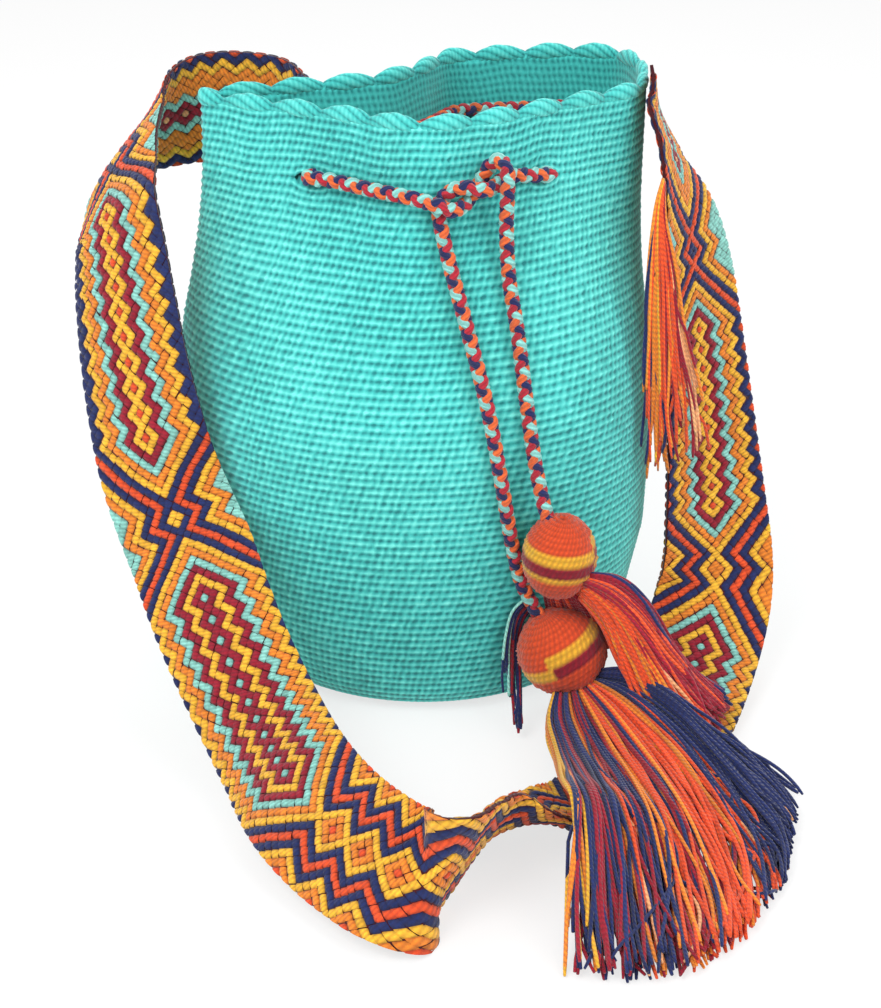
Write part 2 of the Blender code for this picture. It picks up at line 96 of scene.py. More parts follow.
# Direction to the camera, for which the braid shows two columns of strands
VIEW_SIDE = (0.0, -0.91, 0.41)
CORD_LEFT_MM = [
    (-40.5, -56.0, 254.6), (-21.3, -68.0, 253.6), (-5.0, -77.2, 252.8), (6.5, -82.6, 251.0),
    (13.2, -80.9, 248.2), (18.6, -74.2, 248.8), (22.8, -68.1, 253.2), (26.3, -64.3, 257.6),
    (29.8, -63.2, 263.2), (33.8, -66.4, 267.0), (37.4, -71.4, 264.0), (37.8, -72.4, 255.0),
    (37.6, -71.4, 236.1), (39.0, -75.6, 214.3), (42.6, -82.9, 193.9), (46.3, -91.8, 167.3),
    (50.6, -99.0, 138.0), (54.8, -103.2, 117.9), (57.7, -105.3, 108.4),
]
CORD_RIGHT_MM = [
    (48.5, -50.8, 256.0), (40.4, -56.0, 257.0), (35.6, -61.4, 256.6), (31.6, -69.0, 255.4),
    (26.8, -75.0, 255.6), (20.4, -76.0, 257.2), (14.2, -73.8, 255.8), (9.2, -74.2, 252.2),
    (7.2, -75.6, 246.6), (8.4, -78.2, 239.0), (12.2, -82.6, 223.5), (19.9, -91.0, 196.7),
    (29.4, -101.6, 161.4), (36.6, -103.2, 122.0), (41.2, -100.4, 94.0), (46.0, -100.6, 74.0),
    (54.2, -103.0, 58.3),
]

# Balls: centre and radius of the solids; the lower ball's crochet is a little larger, the upper's taller
UPPER_BALL_MM = ((62.9, -107.0, 91.2), 17.6)
UPPER_BALL_TALL = 1.2
LOWER_BALL_MM = ((65.4, -106.2, 41.4), 20.0)
LOWER_BALL_MORE_MM = 1.5
BALL_ROWS = 22
BALL_STITCHES = 42

# Strap: centre, direction from inner to outer edge, bulge
STRAP_WIDTH_MM = 58.0
STRAP_THICKNESS_MM = 2.2
BAND_STATIONS = 520
BAND_LANES = 9
STRAP_MM = [
    ((-23.9, 28.1, 246.5), (-0.02, -0.03, -1.00), 0.0),
    ((-35.8, 21.7, 246.5), (-0.02, -0.03, -1.00), 0.0),
    ((-47.4, 18.2, 246.5), (-0.02, -0.03, -1.00), 0.0),
    ((-56.0, 24.6, 249.0), (-0.02, -0.05, -1.00), 0.0),
    ((-61.5, 37.0, 253.5), (-0.02, -0.05, -1.00), 0.0),
    ((-72.0, 52.0, 258.0), (-0.03, 0.05, -1.00), 0.0),
    ((-91.0, 61.0, 260.0), (-0.04, 0.18, -0.98), 0.0),
    ((-111.0, 62.0, 259.0), (-0.10, 0.20, -0.97), 0.0),
    ((-128.0, 52.0, 256.0), (-0.30, 0.20, -0.93), 1.0),
    ((-140.0, 34.0, 252.0), (-0.52, 0.20, -0.83), 2.0),
    ((-145.5, 10.0, 247.1), (-0.62, 0.30, -0.72), 4.0),
    ((-146.4, -7.4, 238.6), (-0.66, 0.32, -0.68), 5.0),
    ((-145.9, -27.5, 229.4), (-0.70, 0.41, -0.59), 5.0),
    ((-142.9, -40.7, 211.6), (-0.79, 0.46, -0.39), 5.0),
    ((-140.0, -50.1, 190.8), (-0.86, 0.42, -0.31), 5.0),
    ((-135.3, -60.8, 163.2), (-0.89, 0.33, -0.30), 4.0),
    ((-129.0, -71.1, 135.4), (-0.93, 0.21, -0.29), 4.0),
    ((-123.6, -76.0, 116.5), (-0.93, 0.07, -0.36), 4.0),
    ((-116.0, -84.5, 99.5), (-0.90, -0.08, -0.43), 4.0),
    ((-107.2, -100.5, 87.0), (-0.91, -0.13, -0.39), 4.0),
    ((-99.7, -117.5, 74.5), (-0.90, -0.09, -0.43), 5.0),
    ((-89.3, -136.2, 57.6), (-0.86, -0.05, -0.51), 5.0),
    ((-77.6, -154.5, 41.5), (-0.80, -0.10, -0.59), 5.0),
    ((-67.0, -177.4, 34.0), (-0.73, -0.21, -0.65), 5.0),
    ((-57.8, -203.0, 33.0), (-0.72, -0.28, -0.63), 5.0),
    ((-48.2, -222.5, 31.5), (-0.71, -0.34, -0.61), 4.0),
    ((-36.1, -240.2, 29.0), (-0.65, -0.40, -0.65), 4.0),
    ((-23.3, -256.0, 28.2), (-0.57, -0.46, -0.68), 3.0),
    ((-11.0, -267.5, 27.5), (-0.53, -0.53, -0.66), 2.0),
    ((1.5, -273.0, 27.0), (-0.50, -0.45, -0.74), 1.0),
    ((12.0, -266.5, 26.5), (-0.42, -0.10, -0.90), 0.0),
    ((21.0, -248.0, 23.5), (-0.20, 0.45, -0.86), 0.0),
    ((31.0, -229.0, 20.5), (0.03, 0.80, -0.58), 0.0),
    ((47.0, -213.0, 17.5), (-0.08, 0.92, -0.38), 1.0),
    ((62.0, -203.0, 12.5), (-0.28, 0.94, -0.22), 2.0),
    ((79.0, -188.0, 6.5), (-0.50, 0.86, -0.06), 2.0),
    ((99.0, -155.0, 3.6), (-0.70, 0.71, 0.00), 1.0),
    ((119.0, -110.0, 7.5), (-0.86, 0.50, 0.10), 0.0),
    ((135.0, -70.0, 20.0), (-0.95, 0.22, 0.20), 1.0),
    ((144.0, -47.0, 38.0), (-0.99, -0.06, 0.12), 2.0),
    ((146.0, -38.0, 56.0), (-0.96, -0.24, 0.12), 4.0),
    ((144.5, -31.0, 79.0), (-0.90, -0.39, 0.16), 4.0),
    ((142.0, -24.0, 106.0), (-0.83, -0.51, 0.20), 4.0),
    ((139.0, -18.0, 136.0), (-0.76, -0.61, 0.22), 4.0),
    ((135.5, -13.0, 165.0), (-0.70, -0.67, 0.22), 4.0),
    ((131.0, -8.0, 200.0), (-0.62, -0.75, 0.22), 3.0),
    ((125.5, -3.0, 231.0), (-0.46, -0.86, 0.24), 1.0),
    ((118.5, 5.5, 253.0), (-0.20, -0.97, 0.14), 0.0),
    ((112.4, 17.0, 269.0), (-0.08, -1.00, 0.04), 0.0),
    ((109.8, 24.0, 283.5), (-0.04, -1.00, 0.00), 0.0),
]
# Knots from the strap's middle to its edge
HALF_KNOTS = 6.0
# Knot number along the strap (0 at the first crossing in front) against length from the left end.
DIAMONDS = 8
LOW_END = 34.5 + 4 * DIAMONDS
CROSS_LOW = LOW_END + 33.5
CROSS_HIGH = CROSS_LOW + 33.0
KNOT_TO_LENGTH = [
    (-65.0, 0.0), (-33.0, 181.5), (-25.5, 222.1), (-17.5, 266.6), (-7.5, 326.9), (0.0, 368.2), (8.5, 412.9),
    (18.5, 468.6), (28.5, 522.2), (36.5, 565.3), (44.5, 604.0), (48.5, 625.0), (CROSS_LOW, 914.8),
    (CROSS_LOW + 6.5, 946.8), (CROSS_LOW + 24.5, 1035.5), (CROSS_HIGH, 1074.3), (CROSS_HIGH + 16.5, 1161.5),
]

# Yarn fans: side by side routes from the neck to the cut ends
YARN_POINTS = 40
YARN_SIDES = 6
ROUTE_POINTS = 120
TAIL_FAN_MM = [
    [(111.6, -27, 247), (107.5, -36, 234), (105, -43, 205), (104.5, -46, 170), (105, -47, 138),
     (105, -47, 104)],
    [(112, -27, 246), (110, -37, 233), (111.5, -45, 205), (113.5, -49, 170), (115.5, -50, 138),
     (118, -50, 108)],
    [(112.4, -27.5, 244), (112.5, -38, 231), (118, -45, 206), (123, -49, 176), (130, -49.5, 149),
     (136, -50, 120)],
]
UPPER_FAN_MM = [
    [(72, -114, 76), (82, -121, 66), (90, -126, 50), (97, -130, 34), (105, -138, 20), (114, -150, 10)],
    [(74, -116, 78), (88, -124, 70), (100, -129, 54), (110, -134, 38), (122, -142, 22), (133, -150, 10)],
    [(74, -117, 80), (86, -123, 77), (99, -126, 66), (113, -127, 48), (127, -127, 31), (141, -126, 16)],
    [(75, -112, 82), (89, -116, 83), (102, -117, 73), (114, -116, 52), (129, -114, 31), (146, -115, 18)],
]
LEFT_FAN_MM = [
    [(50, -99, 65), (42, -101, 58), (39, -103, 46), (37.5, -107, 28), (37, -113, 8)],
    [(54, -97, 63), (48, -97, 54), (45, -98, 42), (46, -104, 24), (47.5, -122, 4)],
]
NECK_FAN_MM = [
    [(56, -107, 88), (56, -104, 74), (58, -97, 60), (60, -92, 44), (60, -91, 28)],
    [(66, -111, 88), (70, -111, 74), (75, -103, 60), (79, -97, 46), (82, -96, 34)],
    [(74, -110, 86), (83, -114, 74), (90, -112, 60), (97, -110, 46), (101, -110, 34)],
]
LOWER_FAN_MM = [
    [(61.6, -117.4, 23), (57.6, -133, 16), (59.6, -155, 15), (60.8, -178, 20), (61.4, -200, 28),
     (62.2, -219, 36), (64.2, -233, 39), (64.4, -247, 34), (63.8, -264, 24), (63, -284, 12), (62, -303, 4)],
    [(67, -118, 23), (67, -136, 18), (71, -160, 17), (75, -180, 20), (78, -203, 26), (80, -222, 32),
     (82, -240, 28), (84, -258, 19), (86, -282, 9), (87, -307, 4)],
    [(73, -118, 24), (79, -137, 21), (88, -166, 18), (95, -192, 19), (100, -214, 20), (103, -232, 18),
     (106, -256, 9), (108, -280, 5.5), (109, -301, 4)],
    [(78, -117, 26), (91, -136, 25), (106, -161, 19), (117, -190, 16), (126, -218, 12), (131, -246, 8),
     (132, -278, 4)],
    [(81, -114, 28), (97, -127, 32), (116, -146, 27), (133, -168, 18), (146, -192, 11), (154, -214, 7),
     (154, -239, 4)],
    [(82, -112, 30), (95, -122, 37), (111, -135, 35), (128, -147, 25), (143, -157, 18), (158, -168, 10),
     (169, -182, 5)],
]

# Studio: the camera that matches the photo, and lamps as place, size and power
FOCAL_PX = 2072
PHOTO_HEIGHT_PX = 1008
SENSOR_MM = 36.0
CAMERA_PLACE = (0.008, -0.968, 0.51)
CAMERA_DOWN_DEG = 24.5
LAMPS = [((-0.7, -1.0, 1.5), 0.9, 17), ((1.1, -0.9, 1.0), 1.0, 8), ((0.1, 1.0, 1.5), 0.9, 8)]
LAMP_TARGET = (0.0, -0.05, 0.12)
SKY_STRENGTH = 0.75
FLOOR_REACH = 12
# Share of plain white in the floor as the camera sees it; the rest keeps the shadow
FLOOR_WHITE = 0.72


def tone(code):
    """Linear colour of a six-digit screen colour."""
    parts = np.array([int(code[k:k + 2], 16) for k in (0, 2, 4)]) / 255
    return np.where(parts <= 0.04045, parts / 12.92, ((parts + 0.055) / 1.055) ** 2.4)


NAVY, RED, ORANGE, YELLOW, AQUA, CRIMSON, PEACH = range(7)
DYES = np.array([
    tone(code) for code in ("1E2C60", "EB5427", "F28A2C", "FCBC36", "8ED2C6", "9A1A2E", "F7B07A")
])
BRAID_DYES = {
    "navy": tone("202B5E"), "aqua": tone("93DCD4"), "red": tone("BC2838"), "orange": tone("F06E38"),
}


# Shapes

def smooth_step(value):
    """From 0 to 1: three times the square less twice the cube."""
    value = np.clip(value, 0.0, 1.0)
    return value * value * (3.0 - 2.0 * value)


def spline(points, count, closed=False, crowd=0.0):
    """Cubic through the route points (each span's ends and slopes from its neighbours), spread by length."""
    route = np.asarray(points, float)
    last = len(route) if closed else len(route) - 1
    steps = np.linspace(0.0, 1.0, 40, endpoint=False)[:, None]
    fine = []
    for i in range(last):
        if closed:
            a, b, c, d = (route[(i + k) % len(route)] for k in (-1, 0, 1, 2))
        else:
            a, b, c, d = (route[min(max(i + k, 0), len(route) - 1)] for k in (-1, 0, 1, 2))
        cubic = 2 * b + (c - a) * steps + (2 * a - 5 * b + 4 * c - d) * steps ** 2
        fine.append(0.5 * (cubic + (3 * b - a - 3 * c + d) * steps ** 3))
    fine.append(route[:1] if closed else route[-1:])
    fine = np.vstack(fine)
    leg = np.diff(fine[:, :3], axis=0)
    length = np.linalg.norm(leg, axis=1)
    unit = leg / length[:, None]
    turn = np.zeros(len(length))
    turn[1:] = np.linalg.norm(np.diff(unit, axis=0), axis=1)
    turn = np.convolve(turn, np.ones(25) / 25, mode="same")
    reach = np.concatenate([[0.0], np.cumsum(length + crowd * turn)])
    wanted = np.linspace(0.0, reach[-1], count, endpoint=not closed)
    return np.stack([np.interp(wanted, reach, fine[:, k]) for k in range(fine.shape[1])], axis=1)


def rim_plan(columns):
    """The rim's plan at each column, by length round it, with the body angle that belongs to it."""
    known = np.array(RIM_TO_BODY_DEG, float)
    points = [(x * MM, y * MM) for x, y in RIM_PLAN_MM]
    plan = spline(points, columns, closed=True)
    fine = spline(points, 40 * len(points), closed=True)
    reach = [int(np.argmin(np.linalg.norm(fine - np.array(p), axis=1))) / len(fine) for p in points]
    index = np.interp(np.arange(columns) / columns, reach + [1.0], np.arange(len(points) + 1))
    return plan, np.radians(np.interp(index, known[:, 0], known[:, 1]))


def wall_plan(height, rim, angle):
    """Outside of the wall in plan at each height: an oval body blended into the rim's own shape.

    height has shape (levels, columns), the result (levels, columns, 2).
    """
    table = np.array(PROFILE_MM, float) * MM
    right, left, front = (np.interp(height, table[:, 0], table[:, k]) for k in (1, 2, 3))
    along, across = np.cos(angle), np.sin(angle)
    body = np.stack([(right - left) / 2 + (right + left) / 2 * along, front * across], axis=-1)
    pinched = smooth_step((across + 0.15) / 0.5) * smooth_step((0.35 - along) / 0.7)
    free = smooth_step((height - RIM_FORM_FROM_MM * MM) / (RIM_FORM_RISE_MM * MM))
    held = smooth_step((height - PINCH_FROM_MM * MM) / (PINCH_RISE_MM * MM))
    share = (free * (1 - pinched) + held * pinched)[..., None]
    return body + (rim - body) * share


def outward(plan):
    """Unit normals in plan of closed curves that run anticlockwise along the last but one axis."""
    tangent = np.roll(plan, -1, axis=-2) - np.roll(plan, 1, axis=-2)
    normal = np.stack([tangent[..., 1], -tangent[..., 0]], axis=-1)
    return normal / np.linalg.norm(normal, axis=-1, keepdims=True)


def unit(vectors):
    """Each vector over its own length."""
    return vectors / np.maximum(np.linalg.norm(vectors, axis=-1, keepdims=True), 1e-12)


def grid_faces(rows, columns, wrap=False, start=0):
    """Four-sided faces of a grid of rows by columns of points, numbered row by row."""
    row = np.arange(rows - 1)[:, None]
    column = np.arange(columns if wrap else columns - 1)[None, :]
    right = (column + 1) % columns
    low, high = row * columns, (row + 1) * columns
    faces = np.stack([low + column, low + right, high + right, high + column], axis=-1)
    return faces.reshape(-1, 4) + start


def build(name, points, faces, material, floats=(), colours=(), uv=None, around=0.0, triangles=None):
    """Puts whole arrays into a mesh: points (n, 3), four-sided faces, extra three-sided ones, attributes."""
    mesh = bpy.data.meshes.new(name)
    faces = np.asarray(faces, np.int64).reshape(-1, 4)
    triangles = np.zeros((0, 3), np.int64) if triangles is None else np.asarray(triangles).reshape(-1, 3)
    loops = np.concatenate([faces.ravel(), triangles.ravel()]).astype(np.int32)
    starts = np.concatenate([np.arange(len(faces)) * 4, len(faces) * 4 + np.arange(len(triangles)) * 3])
    mesh.vertices.add(len(points))
    mesh.vertices.foreach_set("co", np.asarray(points, np.float32).ravel())
    mesh.loops.add(len(loops))
    mesh.loops.foreach_set("vertex_index", loops)
    mesh.polygons.add(len(starts))
    mesh.polygons.foreach_set("loop_start", starts.astype(np.int32))
    mesh.update(calc_edges=True)
    mesh.polygons.foreach_set("use_smooth", np.ones(len(starts), bool))
    for key, values in floats:
        mesh.attributes.new(key, "FLOAT", "POINT").data.foreach_set("value", np.asarray(values, np.float32))
    for key, values in colours:
        rgba = np.concatenate([values, np.ones((len(values), 1))], axis=1).astype(np.float32)
        mesh.attributes.new(key, "FLOAT_COLOR", "POINT").data.foreach_set("color", rgba.ravel())
    if uv is not None:
        corners = np.asarray(uv, np.float32)[loops]
        if around:
            first = corners[:4 * len(faces), 0].reshape(-1, 4)
            low = first.max(axis=1, keepdims=True) - first > around / 2
            corners[:4 * len(faces), 0] = (first + around * low).ravel()
        mesh.uv_layers.new(name="thread").data.foreach_set("uv", corners.ravel())
    mesh.validate()
    mesh.materials.append(material)
    made = bpy.data.objects.new(name, mesh)
    bpy.context.scene.collection.objects.link(made)
    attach(made, "root")
    return made


def end_fan(count):
    """Triangles that close a ring of this many points, all from its first point."""
    return np.stack([np.zeros(count - 2, int), np.arange(1, count - 1), np.arange(2, count)], axis=1)


def frames(line, side=None):
    """Unit tangents, sides and normals along a line; without a given side the frame is carried along."""
    tangent = unit(np.gradient(line, axis=0))
    if side is None:
        side = np.zeros_like(line)
        side[0] = unit(np.cross(tangent[0], (0.31, 0.52, 0.79)))
        for k in range(1, len(line)):
            moved = side[k - 1] - tangent[k] * (side[k - 1] @ tangent[k])
            side[k] = moved / np.linalg.norm(moved)
    else:
        side = unit(side - (side * tangent).sum(-1, keepdims=True) * tangent)
    return tangent, side, np.cross(side, tangent)


def tubes(lines, radius, sides):
    """Round tubes along many lines at once.

    lines is (tubes, points, 3), radius (tubes, points). Each ring is the line's point plus radius times the
    cosine and sine of its angle on two directions across the line. Returns points, faces, caps and UV.
    """
    count, steps = lines.shape[:2]
    tangent = unit(np.gradient(lines, axis=1))
    first = unit(np.cross(tangent, np.array([0.0, 0.17, 1.0])))
    second = np.cross(tangent, first)
    turn = TAU * np.arange(sides) / sides
    ring = np.cos(turn)[:, None] * first[:, :, None, :] + np.sin(turn)[:, None] * second[:, :, None, :]
    points = (lines[:, :, None, :] + radius[:, :, None, None] * ring).reshape(-1, 3)
    one = grid_faces(steps, sides, wrap=True)[:, ::-1]
    start = (np.arange(count) * steps * sides)[:, None, None]
    faces = (one[None] + start).reshape(-1, 4)
    fan = end_fan(sides)
    far = fan[:, ::-1] + (steps - 1) * sides
    caps = (np.concatenate([fan, far])[None] + start).reshape(-1, 3)
    length = np.concatenate([
        np.zeros((count, 1)), np.cumsum(np.linalg.norm(np.diff(lines, axis=1), axis=2), axis=1),
    ], axis=1)
    u = np.broadcast_to(np.arange(sides) / sides, (count, steps, sides))
    v = np.broadcast_to(length[:, :, None], (count, steps, sides))
    return points, faces, caps, np.stack([u.ravel(), v.ravel() / MM], axis=1)


# Materials

class Finish:
    """A node material built step by step; add() makes a node and join() links two sockets."""

    def __init__(self, name, roughness=0.9, sheen=0.25):
        self.material = bpy.data.materials.new(name)
        self.material.use_nodes = True
        self.tree = self.material.node_tree
        self.shader = self.tree.nodes["Principled BSDF"]
        self.shader.inputs["Roughness"].default_value = roughness
        self.shader.inputs["Sheen Weight"].default_value = sheen
        self.shader.inputs["Specular IOR Level"].default_value = 0.25

    def add(self, kind, settings=(), **values):
        made = self.tree.nodes.new("ShaderNode" + kind)
        for key, value in dict(settings).items():
            setattr(made, key, value)
        for key, value in values.items():
            made.inputs[key.replace("_", " ")].default_value = value
        return made

    def join(self, out, into):
        self.tree.links.new(out, into)

    def maths(self, kind, *values):
        made = self.add("Math", {"operation": kind})
        for socket, value in zip(made.inputs, values):
            if isinstance(value, bpy.types.NodeSocket):
                self.join(value, socket)
            else:
                socket.default_value = value
        return made.outputs[0]

    def wave(self, value, shift, noise, sway):
        """One half plus half a cosine, once per whole number of the value, which noise pushes to and fro."""
        moved = self.maths("MULTIPLY_ADD", noise, sway, value)
        turned = self.maths("MULTIPLY_ADD", moved, TAU, TAU * (shift - 0.5 * sway))
        return self.maths("MULTIPLY_ADD", self.maths("COSINE", turned), 0.5, 0.5)

    def mix(self, factor, one, two, blend="MIX"):
        made = self.add("Mix", {"data_type": "RGBA", "blend_type": blend})
        for slot_index, value in ((0, factor), (6, one), (7, two)):
            socket = made.inputs[slot_index]
            if isinstance(value, bpy.types.NodeSocket):
                self.join(value, socket)
            else:
                socket.default_value = value if slot_index == 0 else (*value, 1.0)
        return made.outputs[2]

    def bump(self, height, strength, distance, under=None):
        made = self.add("Bump", Strength=strength, Distance=distance)
        self.join(height, made.inputs["Height"])
        if under is not None:
            self.join(under, made.inputs["Normal"])
        return made.outputs["Normal"]

    def done(self, colour, normal):
        self.join(colour, self.shader.inputs["Base Color"])
        self.join(normal, self.shader.inputs["Normal"])
        return self.material


def crochet_finish(name, shade, middle, light):
    """Cotton crochet: painted shade between the stitches and a painted highlight on their crowns, with
    fibres as bump.

    The stitch pattern is a product of sines of the row number and of the stitch number, which leans.
    """
    made = Finish(name, sheen=0.3)
    relief_and_painted_shade = made.add("Attribute", {"attribute_name": "relief_and_painted_shade"}).outputs["Fac"]
    place = made.add("TexCoord").outputs["Object"]
    thread = made.add("UVMap", {"uv_map": "thread"}).outputs["UV"]
    parts = made.add("SeparateXYZ")
    made.join(thread, parts.inputs[0])
    jitter = made.add("TexNoise", Scale=240.0, Detail=2.0)
    made.join(place, jitter.inputs["Vector"])
    row = made.wave(parts.outputs["Y"], 0.5, jitter.outputs["Fac"], 0.35)
    lean = made.maths("MULTIPLY_ADD", parts.outputs["Y"], LEAN, parts.outputs["X"])
    stitch = made.wave(lean, 0.0, jitter.outputs["Fac"], 0.9)
    # Painted shade: dark dots where the gaps between the rows and between the stitches meet.
    dots = made.maths("MULTIPLY", made.maths("SUBTRACT", 1.0, row), made.maths("SUBTRACT", 1.0, stitch))
    # Painted highlight on the crowns of the stitches, added to the relief attribute, which holds painted
    # shade too.
    crown_highlight = made.maths("MULTIPLY_ADD", made.maths("MULTIPLY", row, stitch), 0.16, relief_and_painted_shade)
    fac = made.maths("SUBTRACT", crown_highlight, made.maths("MULTIPLY", dots, 0.30))
    # The ramp runs from a painted shade colour through the yarn's own turquoise to a painted highlight
    # colour.
    ramp = made.add("ValToRGB")
    ramp.color_ramp.elements[0].position = 0.08
    ramp.color_ramp.elements[0].color = (*shade, 1)
    ramp.color_ramp.elements[1].color = (*light, 1)
    ramp.color_ramp.elements.new(0.55).color = (*middle, 1)
    made.join(fac, ramp.inputs["Fac"])
    cloudy = made.add("TexNoise", Scale=26.0, Detail=3.0)
    made.join(place, cloudy.inputs["Vector"])
    tint = made.mix(0.22, ramp.outputs["Color"], cloudy.outputs["Fac"], "OVERLAY")
    fuzz = made.add("TexNoise", Scale=1500.0, Detail=3.0)
    made.join(place, fuzz.inputs["Vector"])
    normal = made.bump(fac, 0.45, 0.0006)
    normal = made.bump(fuzz.outputs["Fac"], 0.5, 0.0005, normal)
    return made.done(tint, normal)


def dyed_finish(name, plies, pitch, strength, depth=0.0005):
    """Dyed cotton: the colour comes from the piece's own colour attribute, which holds the dye and, on the
    balls and the strap, painted shade.

    The plies are a sine of plies times the turn round the yarn plus the length along it over the pitch, with
    painted shade in their grooves.
    """
    made = Finish(name)
    yarn_colour = made.add("Attribute", {"attribute_name": "yarn_colour"}).outputs["Color"]
    place = made.add("TexCoord").outputs["Object"]
    speckle = made.add("TexNoise", Scale=900.0, Detail=3.0)
    made.join(place, speckle.inputs["Vector"])
    tint = made.mix(0.35, yarn_colour, speckle.outputs["Fac"], "OVERLAY")
    thread = made.add("UVMap", {"uv_map": "thread"}).outputs["UV"]
    parts = made.add("SeparateXYZ")
    made.join(thread, parts.inputs[0])
    along = made.maths("MULTIPLY", parts.outputs["Y"], 1.0 / pitch)
    turned = made.maths("MULTIPLY_ADD", parts.outputs["X"], float(plies), along)
    ply = made.wave(turned, 0.0, speckle.outputs["Fac"], 0.2)
    # Painted shade: the colour mixed towards near black in the grooves between the plies.
    ply_groove_shade = made.maths("MULTIPLY", made.maths("SUBTRACT", 1.0, ply), 0.30)
    shade = made.mix(ply_groove_shade, tint, (0.02, 0.01, 0.02))
    normal = made.bump(ply, strength, depth)
    normal = made.bump(speckle.outputs["Fac"], 0.45, 0.0004, normal)
    return made.done(shade, normal)


# Painted shade, the yarn's own turquoise and a painted highlight, in that order.
TURQUOISE = crochet_finish("turquoise_crochet", tone("1E7F80"), tone("45C4BE"), tone("7CF2E8"))
BALL_COTTON = dyed_finish("ball_crochet", 1, 2.0, 0.35)
BRAID_COTTON = dyed_finish("braid_cotton", 5, 9.0, 0.6)
YARN_COTTON = dyed_finish("fringe_yarn", 2, 2.6, 0.45)
KNOT_COTTON = dyed_finish("strap_knots", 2, 1.0, 0.25)


# Bag

